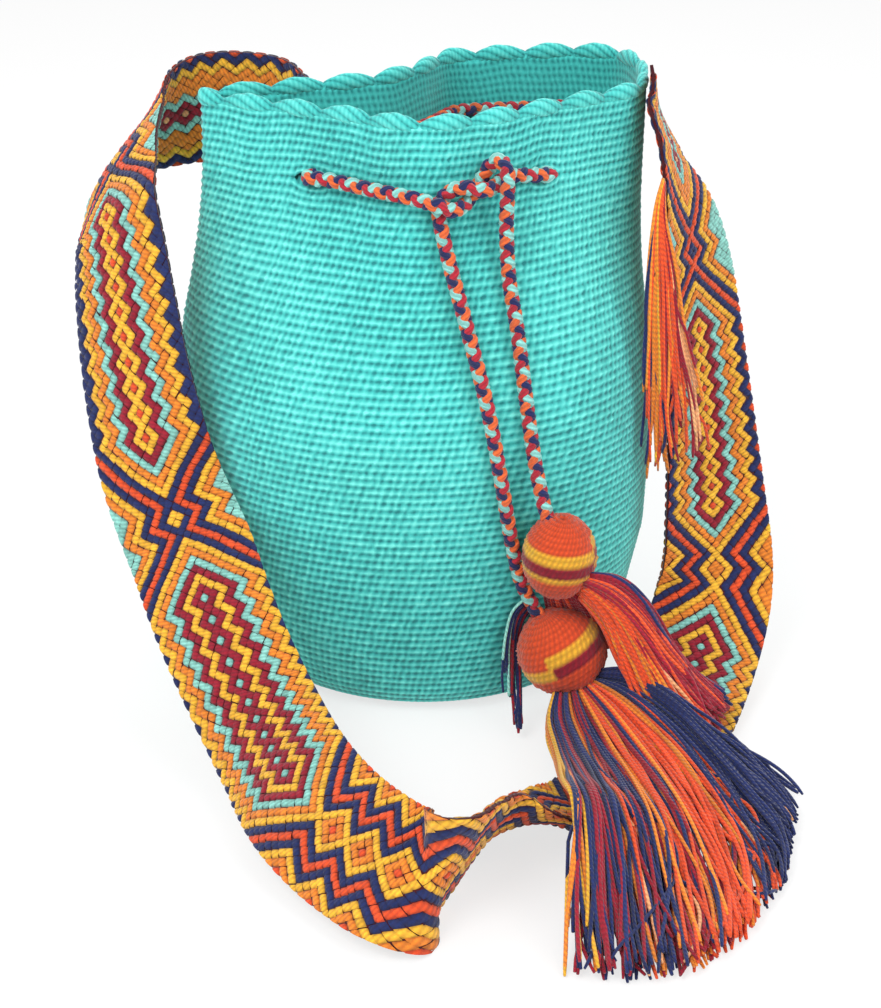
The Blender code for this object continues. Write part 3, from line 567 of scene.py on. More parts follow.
def bag_wall():
    """The crocheted shell, whose relief attribute carries painted shade in the grooves and a painted
    highlight on the crowns.

    Two levels a row and two columns a stitch: an outward offset of a crown on odd levels and a groove on
    even ones, each waved by the cosine of the stitch number plus the lean times the row number.
    Rows part above and below each drawstring hole by an eye-shaped amount that fades over some rows.
    """
    columns = 2 * STITCHES
    rim, angle = rim_plan(columns)
    column = np.arange(columns)
    low_z, high_z = 3.0, RIM_HEIGHT_MM - 1.0
    level = np.arange(2 * ROWS + 1)
    split = 2 * HOLE_ROW
    level = np.insert(level, split, split)
    side = np.where(np.arange(len(level)) <= split, -1.0, 1.0)
    rest = low_z + (high_z - low_z) * level / (2 * ROWS)
    flat = wall_plan(np.full((1, columns), HOLES_MM[0][2] * MM), rim, angle)[0] / MM
    step = np.linalg.norm(np.roll(flat, -1, axis=0) - flat, axis=1)
    reach = np.concatenate([[0.0], np.cumsum(step)[:-1]])
    total = step.sum()
    shift = np.zeros((len(level), columns))
    open_eye = np.zeros(columns)
    slit_z = low_z + (high_z - low_z) * split / (2 * ROWS)
    for x, y, _, half in HOLES_MM:
        middle = reach[np.argmin(np.hypot(flat[:, 0] - x, flat[:, 1] - y))]
        away = np.abs((reach - middle + total / 2) % total - total / 2)
        eye = np.sqrt(np.clip(1 - (away / half) ** 2, 0, 1))
        open_eye = np.maximum(open_eye, eye)
        wide = np.exp(-((away / (half * 1.25)) ** 2))
        fade = np.exp(-np.abs(rest - slit_z) / EYE_FADE_MM)[:, None]
        shift += side[:, None] * fade * (0.9 * wide * (1 - fade) + EYE_OPEN_MM * eye * fade)
    wave = np.sin(reach / total * TAU * 9 + 0.8) * 0.9 + np.sin(reach / total * TAU * 17 + 2.1) * 0.5
    shift += wave * np.clip((rest[:, None] - 205) / 80, 0, 1) ** 1.5
    height = (rest[:, None] + shift) * MM
    plan = wall_plan(height, rim, angle)
    normal = outward(plan)
    crown = (level % 2).astype(float)[:, None]
    bead = np.cos(TAU * (column[None, :] / 2 + LEAN * level[:, None] / 2))
    offset = crown * (0.38 + 0.16 * bead) + (1 - crown) * (-0.38 + 0.16 * bead)
    # Painted shade and highlight: light on the crowns, dark in the grooves, lighter where random bumps stand
    # out, with slow lighter and darker patches.
    relief_and_painted_shade = crown * (0.70 + 0.04 * bead) + (1 - crown) * (0.36 + 0.05 * bead)
    bumps = 0.22 * rng.standard_normal((len(level), columns))
    offset = offset + 0.25 * bumps
    cloud = np.cos(rest[:, None] / 31 + 1.7 * np.cos(reach / total * TAU * 3) + 0.6) * 0.06
    relief_and_painted_shade = np.clip(relief_and_painted_shade + 0.4 * bumps + cloud, 0, 1)
    outer = np.concatenate([plan + normal * (offset * MM)[..., None], height[..., None]], axis=-1)

    inner_level = np.concatenate([
        [len(level) - 1], np.arange(len(level) - 3, split, -2), [split + 1, split],
        np.arange(split - 2, split - 40, -4), np.arange(split - 46, 4, -8),
    ])
    inner_plan = plan[inner_level] - normal[inner_level] * WALL_MM * MM
    knit = 0.2 * np.where((column[None, :] + np.arange(len(inner_level))[:, None]) % 2, 1.0, -1.0)
    inner_plan = inner_plan - normal[inner_level] * (knit * MM)[..., None]
    inner = np.concatenate([inner_plan, height[inner_level][..., None]], axis=-1)
    inner[-1, :, 2] = np.maximum(inner[-1, :, 2], (FLOOR_MM + 4) * MM)

    foot = wall_plan(np.zeros((1, columns)), rim, angle)[0]
    base = [np.concatenate([foot * s, np.zeros((columns, 1))], axis=1) for s in (0.02, 0.35, 0.7, 0.97)]
    base.append(np.concatenate([foot, np.full((columns, 1), 0.0008)], axis=1))
    floor_plan = inner[-1, :, :2]
    floor = [
        np.concatenate([floor_plan * s, np.full((columns, 1), z * MM)], axis=1)
        for s, z in ((0.93, FLOOR_MM + 1), (0.8, FLOOR_MM), (0.4, FLOOR_MM), (0.02, FLOOR_MM))
    ]
    rings = np.concatenate([np.array(base), outer, inner, np.array(floor)])
    count = len(rings)
    faces = grid_faces(count, columns, wrap=True).reshape(count - 1, columns, 4)
    keep = np.ones(count - 1, bool)
    outer_split = len(base) + split
    inner_split = len(base) + len(level) + int(np.where(inner_level == split + 1)[0][0])
    keep[outer_split] = False
    keep[inner_split] = False
    hole = np.where(open_eye > 0)[0]
    hole = hole[np.isin((hole + 1) % columns, hole)]
    right = (hole + 1) % columns
    lips = []
    for a, b in ((outer_split, inner_split + 1), (inner_split, outer_split + 1)):
        low, high = a * columns, b * columns
        lips.append(np.stack([low + hole, low + right, high + right, high + hole], 1))
    quads = np.concatenate([faces[keep].reshape(-1, 4), *lips])
    # Painted shade on the inside: lighter and darker by the same checker as its knit offsets.
    relief_all = np.concatenate([
        np.full((len(base), columns), 0.4), relief_and_painted_shade,
        0.45 + 0.2 * knit, np.full((len(floor), columns), 0.4),
    ])
    row_of = np.concatenate([np.zeros(len(base)), level, level[inner_level], np.zeros(len(floor))]) / 2
    uv = np.stack(np.broadcast_arrays(column[None, :] / 2, row_of[:, None]), -1)
    points = rings.reshape(-1, 3)
    middle = len(points)
    points = np.concatenate([points, [[0, 0, 0]], [[*floor_plan.mean(0) * 0.02, FLOOR_MM * MM]]])
    fans = np.concatenate([
        np.stack([np.full(columns, middle), (column + 1) % columns, column], 1),
        np.stack([np.full(columns, middle + 1), (count - 1) * columns + column,
                  (count - 1) * columns + (column + 1) % columns], 1),
    ])
    made = build(
        "bag_wall", points, quads, TURQUOISE,
        floats=[("relief_and_painted_shade", np.concatenate([relief_all.ravel(), [0.4, 0.4]]))],
        uv=np.concatenate([uv.reshape(-1, 2), [[0, 0], [0, 0]]]), around=STITCHES, triangles=fans,
    )
    weld(made)
    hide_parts("bag_body")
    return made


def weld(piece, distance=2e-6):
    """Joins points that lie on each other."""
    work = bmesh.new()
    work.from_mesh(piece.data)
    bmesh.ops.remove_doubles(work, verts=work.verts, dist=distance)
    work.to_mesh(piece.data)
    work.free()


def rim_rope():
    """The scalloped edge: a rope along the rim.

    Its radius and its height over the rim follow a half sine once a scallop, and the radius swells a little
    towards the scallop's end. Five strands wind round it: the root of the absolute cosine of two and a half
    times the angle plus the twist.
    """
    per_scallop = 44
    count = SCALLOPS * per_scallop
    rim, _ = rim_plan(count)
    normal = outward(rim)
    place = np.arange(count) / per_scallop
    share = place % 1.0
    hump = np.sin(np.pi * share) ** 0.8
    lean = smooth_step(share * 1.3)
    radius = 1.9 + 1.9 * hump * (0.75 + 0.25 * lean)
    centre = np.concatenate([rim - normal * (WALL_MM * 0.5 * MM), np.zeros((count, 1))], axis=1)
    centre[:, 2] = (RIM_HEIGHT_MM - 1.6 + 1.7 * hump) * MM
    sides = 30
    angle = TAU * np.arange(sides) / sides
    swirl = angle[None, :] + TAU * 0.62 * share[:, None]
    groove = np.abs(np.cos(2.5 * swirl)) ** 0.5
    reach = radius[:, None] * (0.84 + 0.16 * groove)
    across = np.concatenate([normal, np.zeros((count, 1))], axis=1)[:, None, :]
    up = np.array([0.0, 0.0, 1.0])
    ring = centre[:, None, :] + MM * (
        (reach * np.cos(angle) * 0.8)[..., None] * across + (reach * np.sin(angle) * 1.15)[..., None] * up
    )
    # Painted shade: darker in the grooves between the strands and where the rope sinks between the scallops.
    relief_and_painted_shade = np.clip(0.02 + 0.62 * groove - 0.30 * (1 - hump[:, None]), 0, 1)
    points = np.concatenate([ring, ring[:1]]).reshape(-1, 3)
    relief_and_painted_shade = np.concatenate([relief_and_painted_shade, relief_and_painted_shade[:1]]).ravel()
    uv = np.stack([
        np.broadcast_to(np.append(place, place[-1] + 1 / per_scallop)[:, None] * 11, (count + 1, sides)),
        np.full((count + 1, sides), 0.5),
    ], -1).reshape(-1, 2)
    faces = grid_faces(count + 1, sides, wrap=True)[:, ::-1]
    made = build("rim_scallops", points, faces, TURQUOISE, floats=[("relief_and_painted_shade", relief_and_painted_shade)], uv=uv)
    weld(made)
    return made


# Drawstring

def cord_route():
    """The drawstring's route: upper ball, knot, left hole, inside, right hole, knot, lower ball."""
    rim, angle = rim_plan(PART_COLUMNS)
    plan = wall_plan(np.full((1, PART_COLUMNS), INSIDE_HEIGHT_MM * MM), rim, angle)[0]
    inside = (plan - outward(plan) * INSIDE_OFFSET_MM * MM) / MM
    ways, near = [], []
    for x, y, z, _ in HOLES_MM:
        ring = wall_plan(np.full((1, PART_COLUMNS), z * MM), rim, angle)[0]
        nearest = int(np.argmin(np.linalg.norm(ring - np.array((x, y)) * MM, axis=1)))
        normal = outward(ring)[nearest]
        middle = np.array((x, y)) - normal * WALL_MM / 2
        ways.append([(*(middle + normal * d), z) for d in (HOLE_RUN_MM, 0.0, -HOLE_RUN_MM)])
        near.append(nearest)
    corner = float(inside[:, 0].min()) + CORNER_REACH_MM
    around = [
        (*inside[k], INSIDE_HEIGHT_MM) for k in range(near[0] - 2, near[1] + 1, -2) if inside[k, 0] > corner
    ]
    route = list(reversed(CORD_LEFT_MM)) + ways[0] + around + list(reversed(ways[1])) + CORD_RIGHT_MM
    return spline(route, 1300) * MM


def drawstring():
    """Four strands round one line: two wind left and two wind right.

    Each lies a mean distance out plus a cosine of twice its turn, with the opposite sign for the other way,
    so each strand goes over one and under the next. The whole braid turns slowly with the line, so that two
    columns of strands face the camera.
    """
    line = cord_route()
    length = np.concatenate([[0.0], np.cumsum(np.linalg.norm(np.diff(line, axis=0), axis=1))])
    _, side, normal = frames(line)
    front = np.unwrap(np.arctan2(normal @ VIEW_SIDE, side @ VIEW_SIDE))
    smooth = np.ones(61) / 61
    front = np.convolve(np.pad(front, 30, mode="edge"), smooth, mode="valid") - math.pi / 4
    turn = TAU * length / (BRAID_PITCH_MM * MM)
    strands, dyes = [], []
    for way, phase, yarn_colour in ((1, 0, "navy"), (1, math.pi, "aqua"), (-1, 0, "red"), (-1, math.pi, "orange")):
        swing = turn * way + phase + front
        out = (STRAND_OUT_MM + way * STRAND_WEAVE_MM * np.cos(2 * turn)) * MM
        away = np.cos(swing)[:, None] * side + np.sin(swing)[:, None] * normal
        strands.append(line + out[:, None] * away)
        dyes.append(BRAID_DYES[yarn_colour])
    strands = np.array(strands)
    points, faces, caps, uv = tubes(strands, np.full(strands.shape[:2], STRAND_RADIUS_MM * MM), STRAND_SIDES)
    yarn_colour = np.repeat(np.array(dyes), strands.shape[1] * STRAND_SIDES, axis=0)
    made = build("drawstring_braid", points, faces, BRAID_COTTON, colours=[("yarn_colour", yarn_colour)], uv=uv,
                 triangles=caps)
    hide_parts("drawstring")
    return made


# Balls

def crochet_ball(name, node, centre, radius, tall, axis, paint):
    """A ball of crochet rows: radius plus a crown or groove by row, in a frame whose pole is axis.

    The turn round the pole starts at the left and reaches the front after a quarter.
    """
    levels, columns = 2 * BALL_ROWS, 2 * BALL_STITCHES
    pole = unit(np.array(axis, float))
    first = unit(np.cross(pole, np.cross((-1.0, 0.0, 0.0), pole)))
    second = np.cross(pole, first)
    level = np.arange(1, levels)
    tilt = np.pi * level / levels
    column = np.arange(columns)
    turn = TAU * column / columns
    crown = (level % 2).astype(float)[:, None]
    bead = np.where((column[None, :] + level[:, None] // 2) % 2, 1.0, -1.0)
    out = radius - 0.55 + crown * (0.35 + 0.12 * bead) + (1 - crown) * (-0.20 + 0.12 * bead)
    out = out * (1 + 0.012 * rng.standard_normal(out.shape))
    spread = np.sin(tilt)[:, None, None] * (
        np.cos(turn)[None, :, None] * first + np.sin(turn)[None, :, None] * second
    ) + tall * np.cos(tilt)[:, None, None] * pole
    points = (np.array(centre) + out[..., None] * spread).reshape(-1, 3)
    ends = [np.array(centre) + way * pole * (radius * tall - 0.4) for way in (1, -1)]
    points = np.concatenate([points, ends]) * MM
    faces = grid_faces(levels - 1, columns, wrap=True)[:, ::-1]
    top, bottom = len(points) - 2, len(points) - 1
    last = (levels - 2) * columns
    fans = np.concatenate([
        np.stack([np.full(columns, top), column, (column + 1) % columns], 1),
        np.stack([np.full(columns, bottom), last + (column + 1) % columns, last + column], 1),
    ])
    row = (level[:, None] - 1) // 2 + 0 * column[None, :]
    kind = paint(row, turn[None, :] + 0 * row)
    yarn_colour = DYES[kind]
    # Painted shade: the dye darker in the grooves between the rows and, a little, between the stitches.
    row_groove_shade = (0.70 + 0.24 * crown + 0.06 * bead)[..., None]
    yarn_colour = (yarn_colour * row_groove_shade).reshape(-1, 3)
    yarn_colour = np.concatenate([yarn_colour, yarn_colour[:1], yarn_colour[-1:]])
    uv = np.stack(np.broadcast_arrays(column[None, :] / 2, level[:, None] / 2), -1)
    uv = np.concatenate([uv.reshape(-1, 2), [[0, 0], [0, 0]]])
    made = build(name, points, faces, BALL_COTTON, colours=[("yarn_colour", yarn_colour)], uv=uv,
                 around=BALL_STITCHES, triangles=fans)
    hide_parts(node)
    return made


def upper_stripes(row, turn):
    """Yellow, crimson and yellow bands below the middle, a row and a half higher on the right side."""
    row = row + 2 * ((turn > 2.7) & (turn < 3.9))
    kind = np.full(row.shape, RED)
    kind = np.where((row == 8) | (row == 9) | (row == 12), YELLOW, kind)
    return np.where((row == 10) | (row == 11), CRIMSON, kind)


def lower_stripes(row, turn):
    """Yellow over crimson from the front to the right, and a yellow block to the left of the crimson."""
    kind = np.full(row.shape, RED)
    kind = np.where((row >= 8) & (row <= 9) & (turn > 1.2) & (turn < 3.9), YELLOW, kind)
    kind = np.where((row >= 10) & (row <= 11) & (turn > 1.3) & (turn < 3.9), CRIMSON, kind)
    return np.where((row >= 10) & (row <= 11) & (turn > 0.2) & (turn < 1.3), YELLOW, kind)


# Strap

def rings(a, b, dots, colours):
    """Rings of colour round a row of dots, given as first, last and spacing.

    The ring's number is the distance along to the nearest dot plus the distance off the middle.
    """
    near = np.clip(np.round((a - dots[0]) / dots[2]) * dots[2] + dots[0], dots[0], dots[1])
    level = (np.abs(a - near) + b).astype(int)
    return np.array(colours)[np.minimum(level, len(colours) - 1)]


def strap_pattern(a, b):
    """The dye of every knot from its number along the strap, a, and its distance from the middle, b.

    Long panels of dots in zigzag rings alternate; where two panels meet, crossed lines keep one knot's
    distance from an X with a small square in its middle; the lowest stretch is a chain of diamonds.
    """
    small = [RED, YELLOW, CRIMSON, AQUA, ORANGE, YELLOW, NAVY]
    large = [AQUA, CRIMSON, YELLOW, CRIMSON, AQUA, ORANGE, YELLOW, NAVY]
    sewn = [PEACH, CRIMSON, AQUA, ORANGE, ORANGE, YELLOW, NAVY, RED]
    chain = [RED, ORANGE, YELLOW, NAVY, RED, NAVY, YELLOW, ORANGE, RED]
    kind = rings(a, b, (-81.5, -41.5, 2), sewn)
    for low, high, dots, colours in (
        (-33.0, 0.0, (-25.5, -7.5, 2), small), (0.0, 34.5, (8.5, 28.5, 2), large),
        (34.5, LOW_END, (36.5, LOW_END - 2.0, 4), chain),
        (LOW_END, CROSS_LOW, (LOW_END + 6.0, CROSS_LOW - 7.5, 2), large),
        (CROSS_LOW, CROSS_HIGH, (CROSS_LOW + 6.5, CROSS_HIGH - 8.5, 2), small + [RED]),
        (CROSS_HIGH, 900.0, (CROSS_HIGH + 8.5, 900.5, 2), sewn),
    ):
        kind = np.where((a >= low) & (a < high), rings(a, b, dots, colours), kind)
    for edge, way in ((34.5, -1), (LOW_END, 1)):
        off = (a - edge) * way
        inside = (off >= 0) & (off < b)
        kind = np.where(inside, np.array(chain)[np.clip(2 + b - off, 0, 8).astype(int)], kind)
    first = [YELLOW, NAVY, RED, NAVY, YELLOW, ORANGE, AQUA]
    for middle, colours in (
        (-33.0, first), (0.0, first), (CROSS_LOW, [ORANGE, YELLOW, NAVY, RED, NAVY, YELLOW, ORANGE]),
        (CROSS_HIGH, [NAVY, RED, NAVY, YELLOW, ORANGE, AQUA, AQUA]),
    ):
        off = np.abs(a - middle)
        step = np.clip(b - np.abs(off - 1.5) + 1, 0, 6).astype(int)
        kind = np.where(off < b + 1.5, np.array(colours)[step], kind)
    return kind


def strap_surface():
    """Samples of the strap's centre line with its cross directions, normals, bulge and length."""
    line = spline([(*c, *s, b) for c, s, b in STRAP_MM], 2400)
    centre, side, bulge = line[:, :3], line[:, 3:6], line[:, 6]
    _, across, normal = frames(centre, side)
    length = np.concatenate([[0.0], np.cumsum(np.linalg.norm(np.diff(centre, axis=0), axis=1))])
    return centre, across, normal, bulge, length


def on_strap(surface, a, b, out):
    """Points of the strap at knot numbers a along and b across, and out millimetres off its middle.

    The cross-section is a shallow parabola: bulge times one half minus lane squared.
    """
    centre, across, normal, bulge, length = surface
    table = np.array(KNOT_TO_LENGTH)
    reach = np.interp(a, table[:, 0], table[:, 1])
    pick = [np.interp(reach, length, values[:, k]) for values in (centre, across, normal) for k in range(3)]
    place, side, up = (np.stack(pick[k:k + 3], axis=-1) for k in (0, 3, 6))
    side, up = unit(side), unit(up)
    swell = np.interp(reach, length, bulge)
    lane = -b / HALF_KNOTS
    rise = swell * (0.5 - lane ** 2)
    slope = -2 * swell * lane / (STRAP_WIDTH_MM / 2)
    lean = unit(up - slope[..., None] * side)
    spot = place + (lane * STRAP_WIDTH_MM / 2)[..., None] * side + rise[..., None] * up
    spot = spot + out[..., None] * lean
    spot[..., 2] = np.maximum(spot[..., 2], 0.25)
    return spot * MM


def strap_band(surface):
    """The band under the knots: a closed flat tube round the centre line, darkened as painted shade for the
    gaps between the knots.
    """
    a = np.linspace(KNOT_TO_LENGTH[0][0], KNOT_TO_LENGTH[-1][0], BAND_STATIONS)
    b = np.linspace(-HALF_KNOTS, HALF_KNOTS, BAND_LANES)
    half = STRAP_THICKNESS_MM / 2 - 0.35
    around_b = np.concatenate([b, b[::-1]])
    around_out = np.concatenate([np.full(BAND_LANES, half), np.full(BAND_LANES, -half)])
    grid_a, grid_b = np.meshgrid(a, around_b, indexing="ij")
    _, grid_out = np.meshgrid(a, around_out, indexing="ij")
    points = on_strap(surface, grid_a, grid_b, grid_out).reshape(-1, 3)
    faces = grid_faces(len(a), len(around_b), wrap=True)
    fan = end_fan(len(around_b))
    far = fan[:, ::-1] + (len(a) - 1) * len(around_b)
    # Painted shade: crimson at a fifth of its brightness, so that the gaps between the knots read dark.
    yarn_colour = np.broadcast_to(DYES[CRIMSON] * 0.2, points.shape)
    uv = np.stack([grid_a.ravel(), grid_b.ravel()], 1)
    made = build("strap_band", points, faces, KNOT_COTTON, colours=[("yarn_colour", yarn_colour)], uv=uv,
                 triangles=np.concatenate([fan, far]))
    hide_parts("strap")
    return made


def strap_knots(surface, name, side, cells):
    """One small cushion a knot, its colour darkened towards its sides as painted shade.

    Its height falls off towards each of its four sides by the distance to the power 2.6, in full towards a
    knot of another colour and only by about a third towards one of its own, so that each line reads as a
    cord.
    """
    low, high = KNOT_TO_LENGTH[0][0], KNOT_TO_LENGTH[-1][0]
    numbers = np.arange(math.floor(low) - 8, math.ceil(high) + 8) + 0.5
    i, j = np.meshgrid(numbers, numbers, indexing="ij")
    a, b = (i + j) / 2, (j - i) / 2
    keep = (np.abs(b) <= HALF_KNOTS + 0.01) & (a > low + 0.6) & (a < high - 0.6)
    i, j, a, b = i[keep], j[keep], a[keep], b[keep]

    def dyed(di, dj):
        """Dye of the knot that lies so many steps away in the two slanting directions."""
        return strap_pattern((i + di + j + dj) / 2, np.abs(j + dj - i - di) / 2)

    kind = dyed(0, 0)
    fall = [np.where(dyed(*step) == kind, 0.36, 1.0)[:, None] for step in ((-1, 0), (1, 0), (0, -1), (0, 1))]
    span = np.linspace(-0.5, 0.5, cells + 1)
    u, v = (grid.ravel() for grid in np.meshgrid(span, span, indexing="ij"))
    drop_u = (np.abs(2 * u) ** 2.6) * np.where(u < 0, fall[0], fall[1])
    drop_v = (np.abs(2 * v) ** 2.6) * np.where(v < 0, fall[2], fall[3])
    edge = (1 - 0.9 * drop_u) * (1 - 0.9 * drop_v)
    wobble = 0.045 * rng.standard_normal((len(i), 2))
    at_i = i[:, None] + u * (1 - 0.10 * drop_v) + wobble[:, :1] + 0.10 * v
    at_j = j[:, None] + v * (1 - 0.10 * drop_u) + wobble[:, 1:] - 0.10 * u
    at_a, at_b = (at_i + at_j) / 2, np.clip((at_j - at_i) / 2, -HALF_KNOTS - 0.05, HALF_KNOTS + 0.05)
    crown = 1.0 + 0.10 * rng.standard_normal((len(i), 1))
    out = side * (STRAP_THICKNESS_MM / 2 - 0.45 + crown * edge)
    points = on_strap(surface, at_a, at_b, out).reshape(-1, 3)
    size = (cells + 1) ** 2
    one = grid_faces(cells + 1, cells + 1)
    if side < 0:
        one = one[:, ::-1]
    faces = (one[None] + (np.arange(len(i)) * size)[:, None, None]).reshape(-1, 4)
    yarn_colour = DYES[kind]
    yarn_colour = yarn_colour * (1 + 0.08 * rng.standard_normal((len(i), 1)))
    # Painted shade: the colour falls with the cushion's height towards the knot's sides, most towards a knot
    # of another colour.
    yarn_colour = np.clip(yarn_colour[:, None, :] * (0.52 + 0.48 * edge)[..., None], 0, 1).reshape(-1, 3)
    uv = np.stack([at_i.ravel(), at_j.ravel()], 1)
    return build(name, points, faces, KNOT_COTTON, colours=[("yarn_colour", yarn_colour)], uv=uv)


# Fringes

def yarn_fan(name, nodes, routes, count, paint, thick, radius, shortest, loose):
    """Yarns spread between side by side routes.

    Each yarn lies at its own share between the routes, plus a slow sine that grows towards its end, and at
    its own height in the bundle: layer times half the thickness, which runs evenly from the neck's to the
    cut ends'.
    """
    lines = np.array([spline(route, ROUTE_POINTS) for route in routes])
    share = np.sort(np.linspace(0, 1, count) + 0.6 / count * rng.standard_normal(count))
    layer = rng.uniform(-1, 1, count)
    stop = 1 - (1 - shortest) * rng.random(count) ** 1.5
    along = np.linspace(0, 1, YARN_POINTS)[None, :] * stop[:, None]
    sway = loose * (1 + 3 * (rng.random((count, 1)) > 0.9)) * rng.uniform(0.4, 1.0, (count, 1))
    bend = np.sin(along * rng.uniform(3, 9, (count, 1)) + rng.uniform(0, TAU, (count, 1))) * along
    place = np.clip(share[:, None] + sway * bend, -0.04, 1.04) * (len(routes) - 1)
    low = np.clip(np.floor(place).astype(int), 0, len(routes) - 2)
    part = (place - low)[..., None]
    at = along * (ROUTE_POINTS - 1)
    base = np.clip(np.floor(at).astype(int), 0, ROUTE_POINTS - 2)
    rest = (at - base)[..., None]

    def sample(k):
        """Points at the same length along the route number k."""
        return lines[k, base] * (1 - rest) + lines[k, base + 1] * rest

    spot = sample(low) * (1 - part) + sample(low + 1) * part
    waves = np.sin(along * rng.uniform(4, 10, (count, 1)) + rng.uniform(0, TAU, (count, 1)))
    thickness = thick[0] + (thick[1] - thick[0]) * along
    height = np.clip(layer[:, None] + 0.5 * waves * along, -1, 1) * 0.5 * thickness
    spot[..., 2] += height * 0.9
    spot[..., 1] -= height * 0.3
    spot[..., 2] = np.maximum(spot[..., 2], radius + 0.2 + 0.6 * (layer[:, None] + 1))
    size = np.full(at.shape, radius) * (1 + 0.10 * rng.standard_normal((count, 1)))
    size[:, -1] *= 0.7
    points, faces, caps, uv = tubes(spot * MM, size * MM, YARN_SIDES)
    kind = paint(share)
    yarn_colour = DYES[kind] * (1 + 0.13 * rng.standard_normal((count, 1)))
    yarn_colour = np.repeat(np.clip(yarn_colour, 0, 1), YARN_POINTS * YARN_SIDES, axis=0)
    made = build(name, points, faces, YARN_COTTON, colours=[("yarn_colour", yarn_colour)], uv=uv, around=1.0,
                 triangles=caps)
    if nodes:
        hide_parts(*nodes)
    return made


def bands(*stops):
    """Picks dyes across a fan: each stop is an upper share and the dyes that a yarn up to there may have."""
    def paint(share):
        kind = np.zeros(len(share), int)
        draw = rng.random(len(share))
        low = -9.0
        for limit, dyes in stops:
            here = (share > low) & (share <= limit)
            kind[here] = np.array(dyes)[(draw[here] * len(dyes)).astype(int)]
            low = limit
        return kind
    return paint


# Studio

def studio():
    """Pale floor, three soft lights, plain world and the camera at the photo's angle."""
    scene = bpy.context.scene
    scene.view_settings.view_transform = "Standard"
    data = bpy.data.cameras.new("camera")
    data.sensor_fit = "VERTICAL"
    data.sensor_height = SENSOR_MM
    data.lens = FOCAL_PX / PHOTO_HEIGHT_PX * SENSOR_MM
    camera = bpy.data.objects.new("camera", data)
    camera.location = CAMERA_PLACE
    camera.rotation_euler = (math.radians(90 - CAMERA_DOWN_DEG), 0, 0)
    scene.collection.objects.link(camera)
    scene.camera = camera

    floor_mesh = bpy.data.meshes.new("floor")
    corners = [(x * FLOOR_REACH, y * FLOOR_REACH, 0) for x, y in ((-1, -1), (1, -1), (1, 1), (-1, 1))]
    floor_mesh.from_pydata(corners, [], [(0, 1, 2, 3)])
    floor = bpy.data.objects.new("floor", floor_mesh)
    paper = bpy.data.materials.new("floor_paper")
    paper.use_nodes = True
    tree = paper.node_tree
    shader = tree.nodes["Principled BSDF"]
    shader.inputs["Base Color"].default_value = (0.93, 0.93, 0.93, 1)
    shader.inputs["Roughness"].default_value = 0.9
    white = tree.nodes.new("ShaderNodeEmission")
    white.inputs["Strength"].default_value = 1.0
    seen = tree.nodes.new("ShaderNodeLightPath")
    part = tree.nodes.new("ShaderNodeMath")
    part.operation = "MULTIPLY"
    part.inputs[1].default_value = FLOOR_WHITE
    share = tree.nodes.new("ShaderNodeMixShader")
    tree.links.new(seen.outputs["Is Camera Ray"], part.inputs[0])
    tree.links.new(part.outputs[0], share.inputs[0])
    tree.links.new(shader.outputs[0], share.inputs[1])
    tree.links.new(white.outputs[0], share.inputs[2])
    tree.links.new(share.outputs[0], tree.nodes["Material Output"].inputs["Surface"])
    floor_mesh.materials.append(paper)
    scene.collection.objects.link(floor)

    world = bpy.data.worlds.new("world")
    world.use_nodes = True
    scene.world = world
    tree = world.node_tree
    light = tree.nodes["Background"]
    light.inputs["Color"].default_value = (1, 1, 1, 1)
    light.inputs["Strength"].default_value = SKY_STRENGTH
    backdrop = tree.nodes.new("ShaderNodeBackground")
    backdrop.inputs["Strength"].default_value = 1.0
    backdrop.inputs["Color"].default_value = (1, 1, 1, 1)
    path = tree.nodes.new("ShaderNodeLightPath")
    pick = tree.nodes.new("ShaderNodeMixShader")
    tree.links.new(path.outputs["Is Camera Ray"], pick.inputs[0])
    tree.links.new(light.outputs[0], pick.inputs[1])
    tree.links.new(backdrop.outputs[0], pick.inputs[2])
    tree.links.new(pick.outputs[0], tree.nodes["World Output"].inputs["Surface"])

    for place, size, power in LAMPS:
        lamp = bpy.data.lights.new("lamp", "AREA")
        lamp.size = size
        lamp.energy = power
        holder = bpy.data.objects.new("lamp", lamp)
        holder.location = place
        aim = np.array(LAMP_TARGET) - np.array(place)
        holder.rotation_euler = (
            math.acos(-aim[2] / np.linalg.norm(aim)), 0, math.atan2(aim[1], aim[0]) - math.pi / 2,
        )
        scene.collection.objects.link(holder)


# Making

studio()
drawstring()
bag_wall()
rim_rope()
crochet_ball(
    "ball_upper_crochet", "ball_upper", *UPPER_BALL_MM, UPPER_BALL_TALL, (0.08, -0.05, 1.0), upper_stripes,
)
crochet_ball(
    "ball_lower_crochet", "ball_lower", LOWER_BALL_MM[0], LOWER_BALL_MM[1] + LOWER_BALL_MORE_MM, 1.0,
    (-0.50, 0.05, 0.87), lower_stripes,
)

strap = strap_surface()
band = strap_band(strap)
face = strap_knots(strap, "strap_knots_face", 1.0, 4)
back = strap_knots(strap, "strap_knots_back", -1.0, 3)

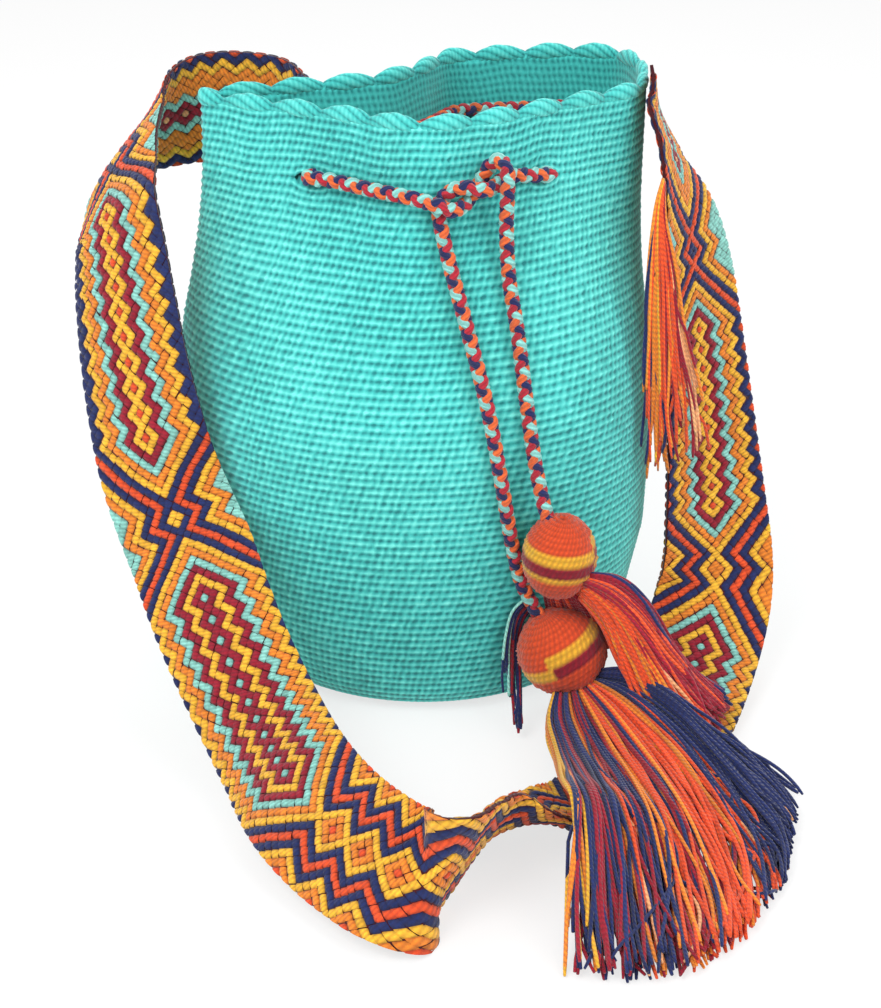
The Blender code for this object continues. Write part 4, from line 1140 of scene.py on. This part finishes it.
tail_dyes = bands(
    (0.15, [NAVY, ORANGE, NAVY]), (0.4, [ORANGE, RED, YELLOW, ORANGE]), (0.7, [RED, RED, ORANGE, CRIMSON]),
    (2, [CRIMSON, CRIMSON, RED, PEACH, ORANGE]),
)
yarn_fan("tail_yarns", ["strap_tail"], TAIL_FAN_MM, 70, tail_dyes, (3, 8),
         radius=0.75, shortest=0.62, loose=0.12)
upper_dyes = bands(
    (0.36, [RED, ORANGE, RED, RED]), (0.5, [RED, CRIMSON, RED, PEACH]), (0.95, [CRIMSON] * 7 + [RED]),
    (2, [NAVY, CRIMSON]),
)
yarn_fan("upper_yarns", ["fringe_upper_right"], UPPER_FAN_MM, 190, upper_dyes, (9, 7),
         radius=0.9, shortest=0.88, loose=0.07)
neck_dyes = bands((0.6, [CRIMSON, CRIMSON, RED]), (2, [RED, CRIMSON, RED]))
yarn_fan("neck_yarns", [], NECK_FAN_MM, 60, neck_dyes, (8, 6), radius=0.95, shortest=0.8, loose=0.05)
left_dyes = bands((0.35, [NAVY, AQUA, NAVY]), (0.7, [NAVY, CRIMSON]), (2, [CRIMSON, CRIMSON, NAVY]))
yarn_fan("left_yarns", ["fringe_upper_left"], LEFT_FAN_MM, 20, left_dyes, (5, 4),
         radius=0.75, shortest=0.55, loose=0.16)
lower_dyes = bands(
    (0.02, [ORANGE, YELLOW]), (0.11, [NAVY, NAVY, NAVY, CRIMSON]), (0.15, [CRIMSON]),
    (0.23, [NAVY, NAVY, CRIMSON]), (0.28, [ORANGE, PEACH, RED]), (0.36, [NAVY, CRIMSON, NAVY]),
    (0.47, [RED, RED, ORANGE, CRIMSON]), (0.53, [NAVY, CRIMSON, RED]), (0.68, [RED, RED, RED, ORANGE]),
    (0.74, [NAVY, RED]), (2, [NAVY] * 11 + [PEACH]),
)
lower_nodes = ["fringe_lower_left", "fringe_lower_middle", "fringe_lower_right", "fringe_lower_outer"]
yarn_fan("lower_yarns", lower_nodes, LOWER_FAN_MM, 380, lower_dyes, (13, 8),
         radius=0.85, shortest=0.9, loose=0.06)
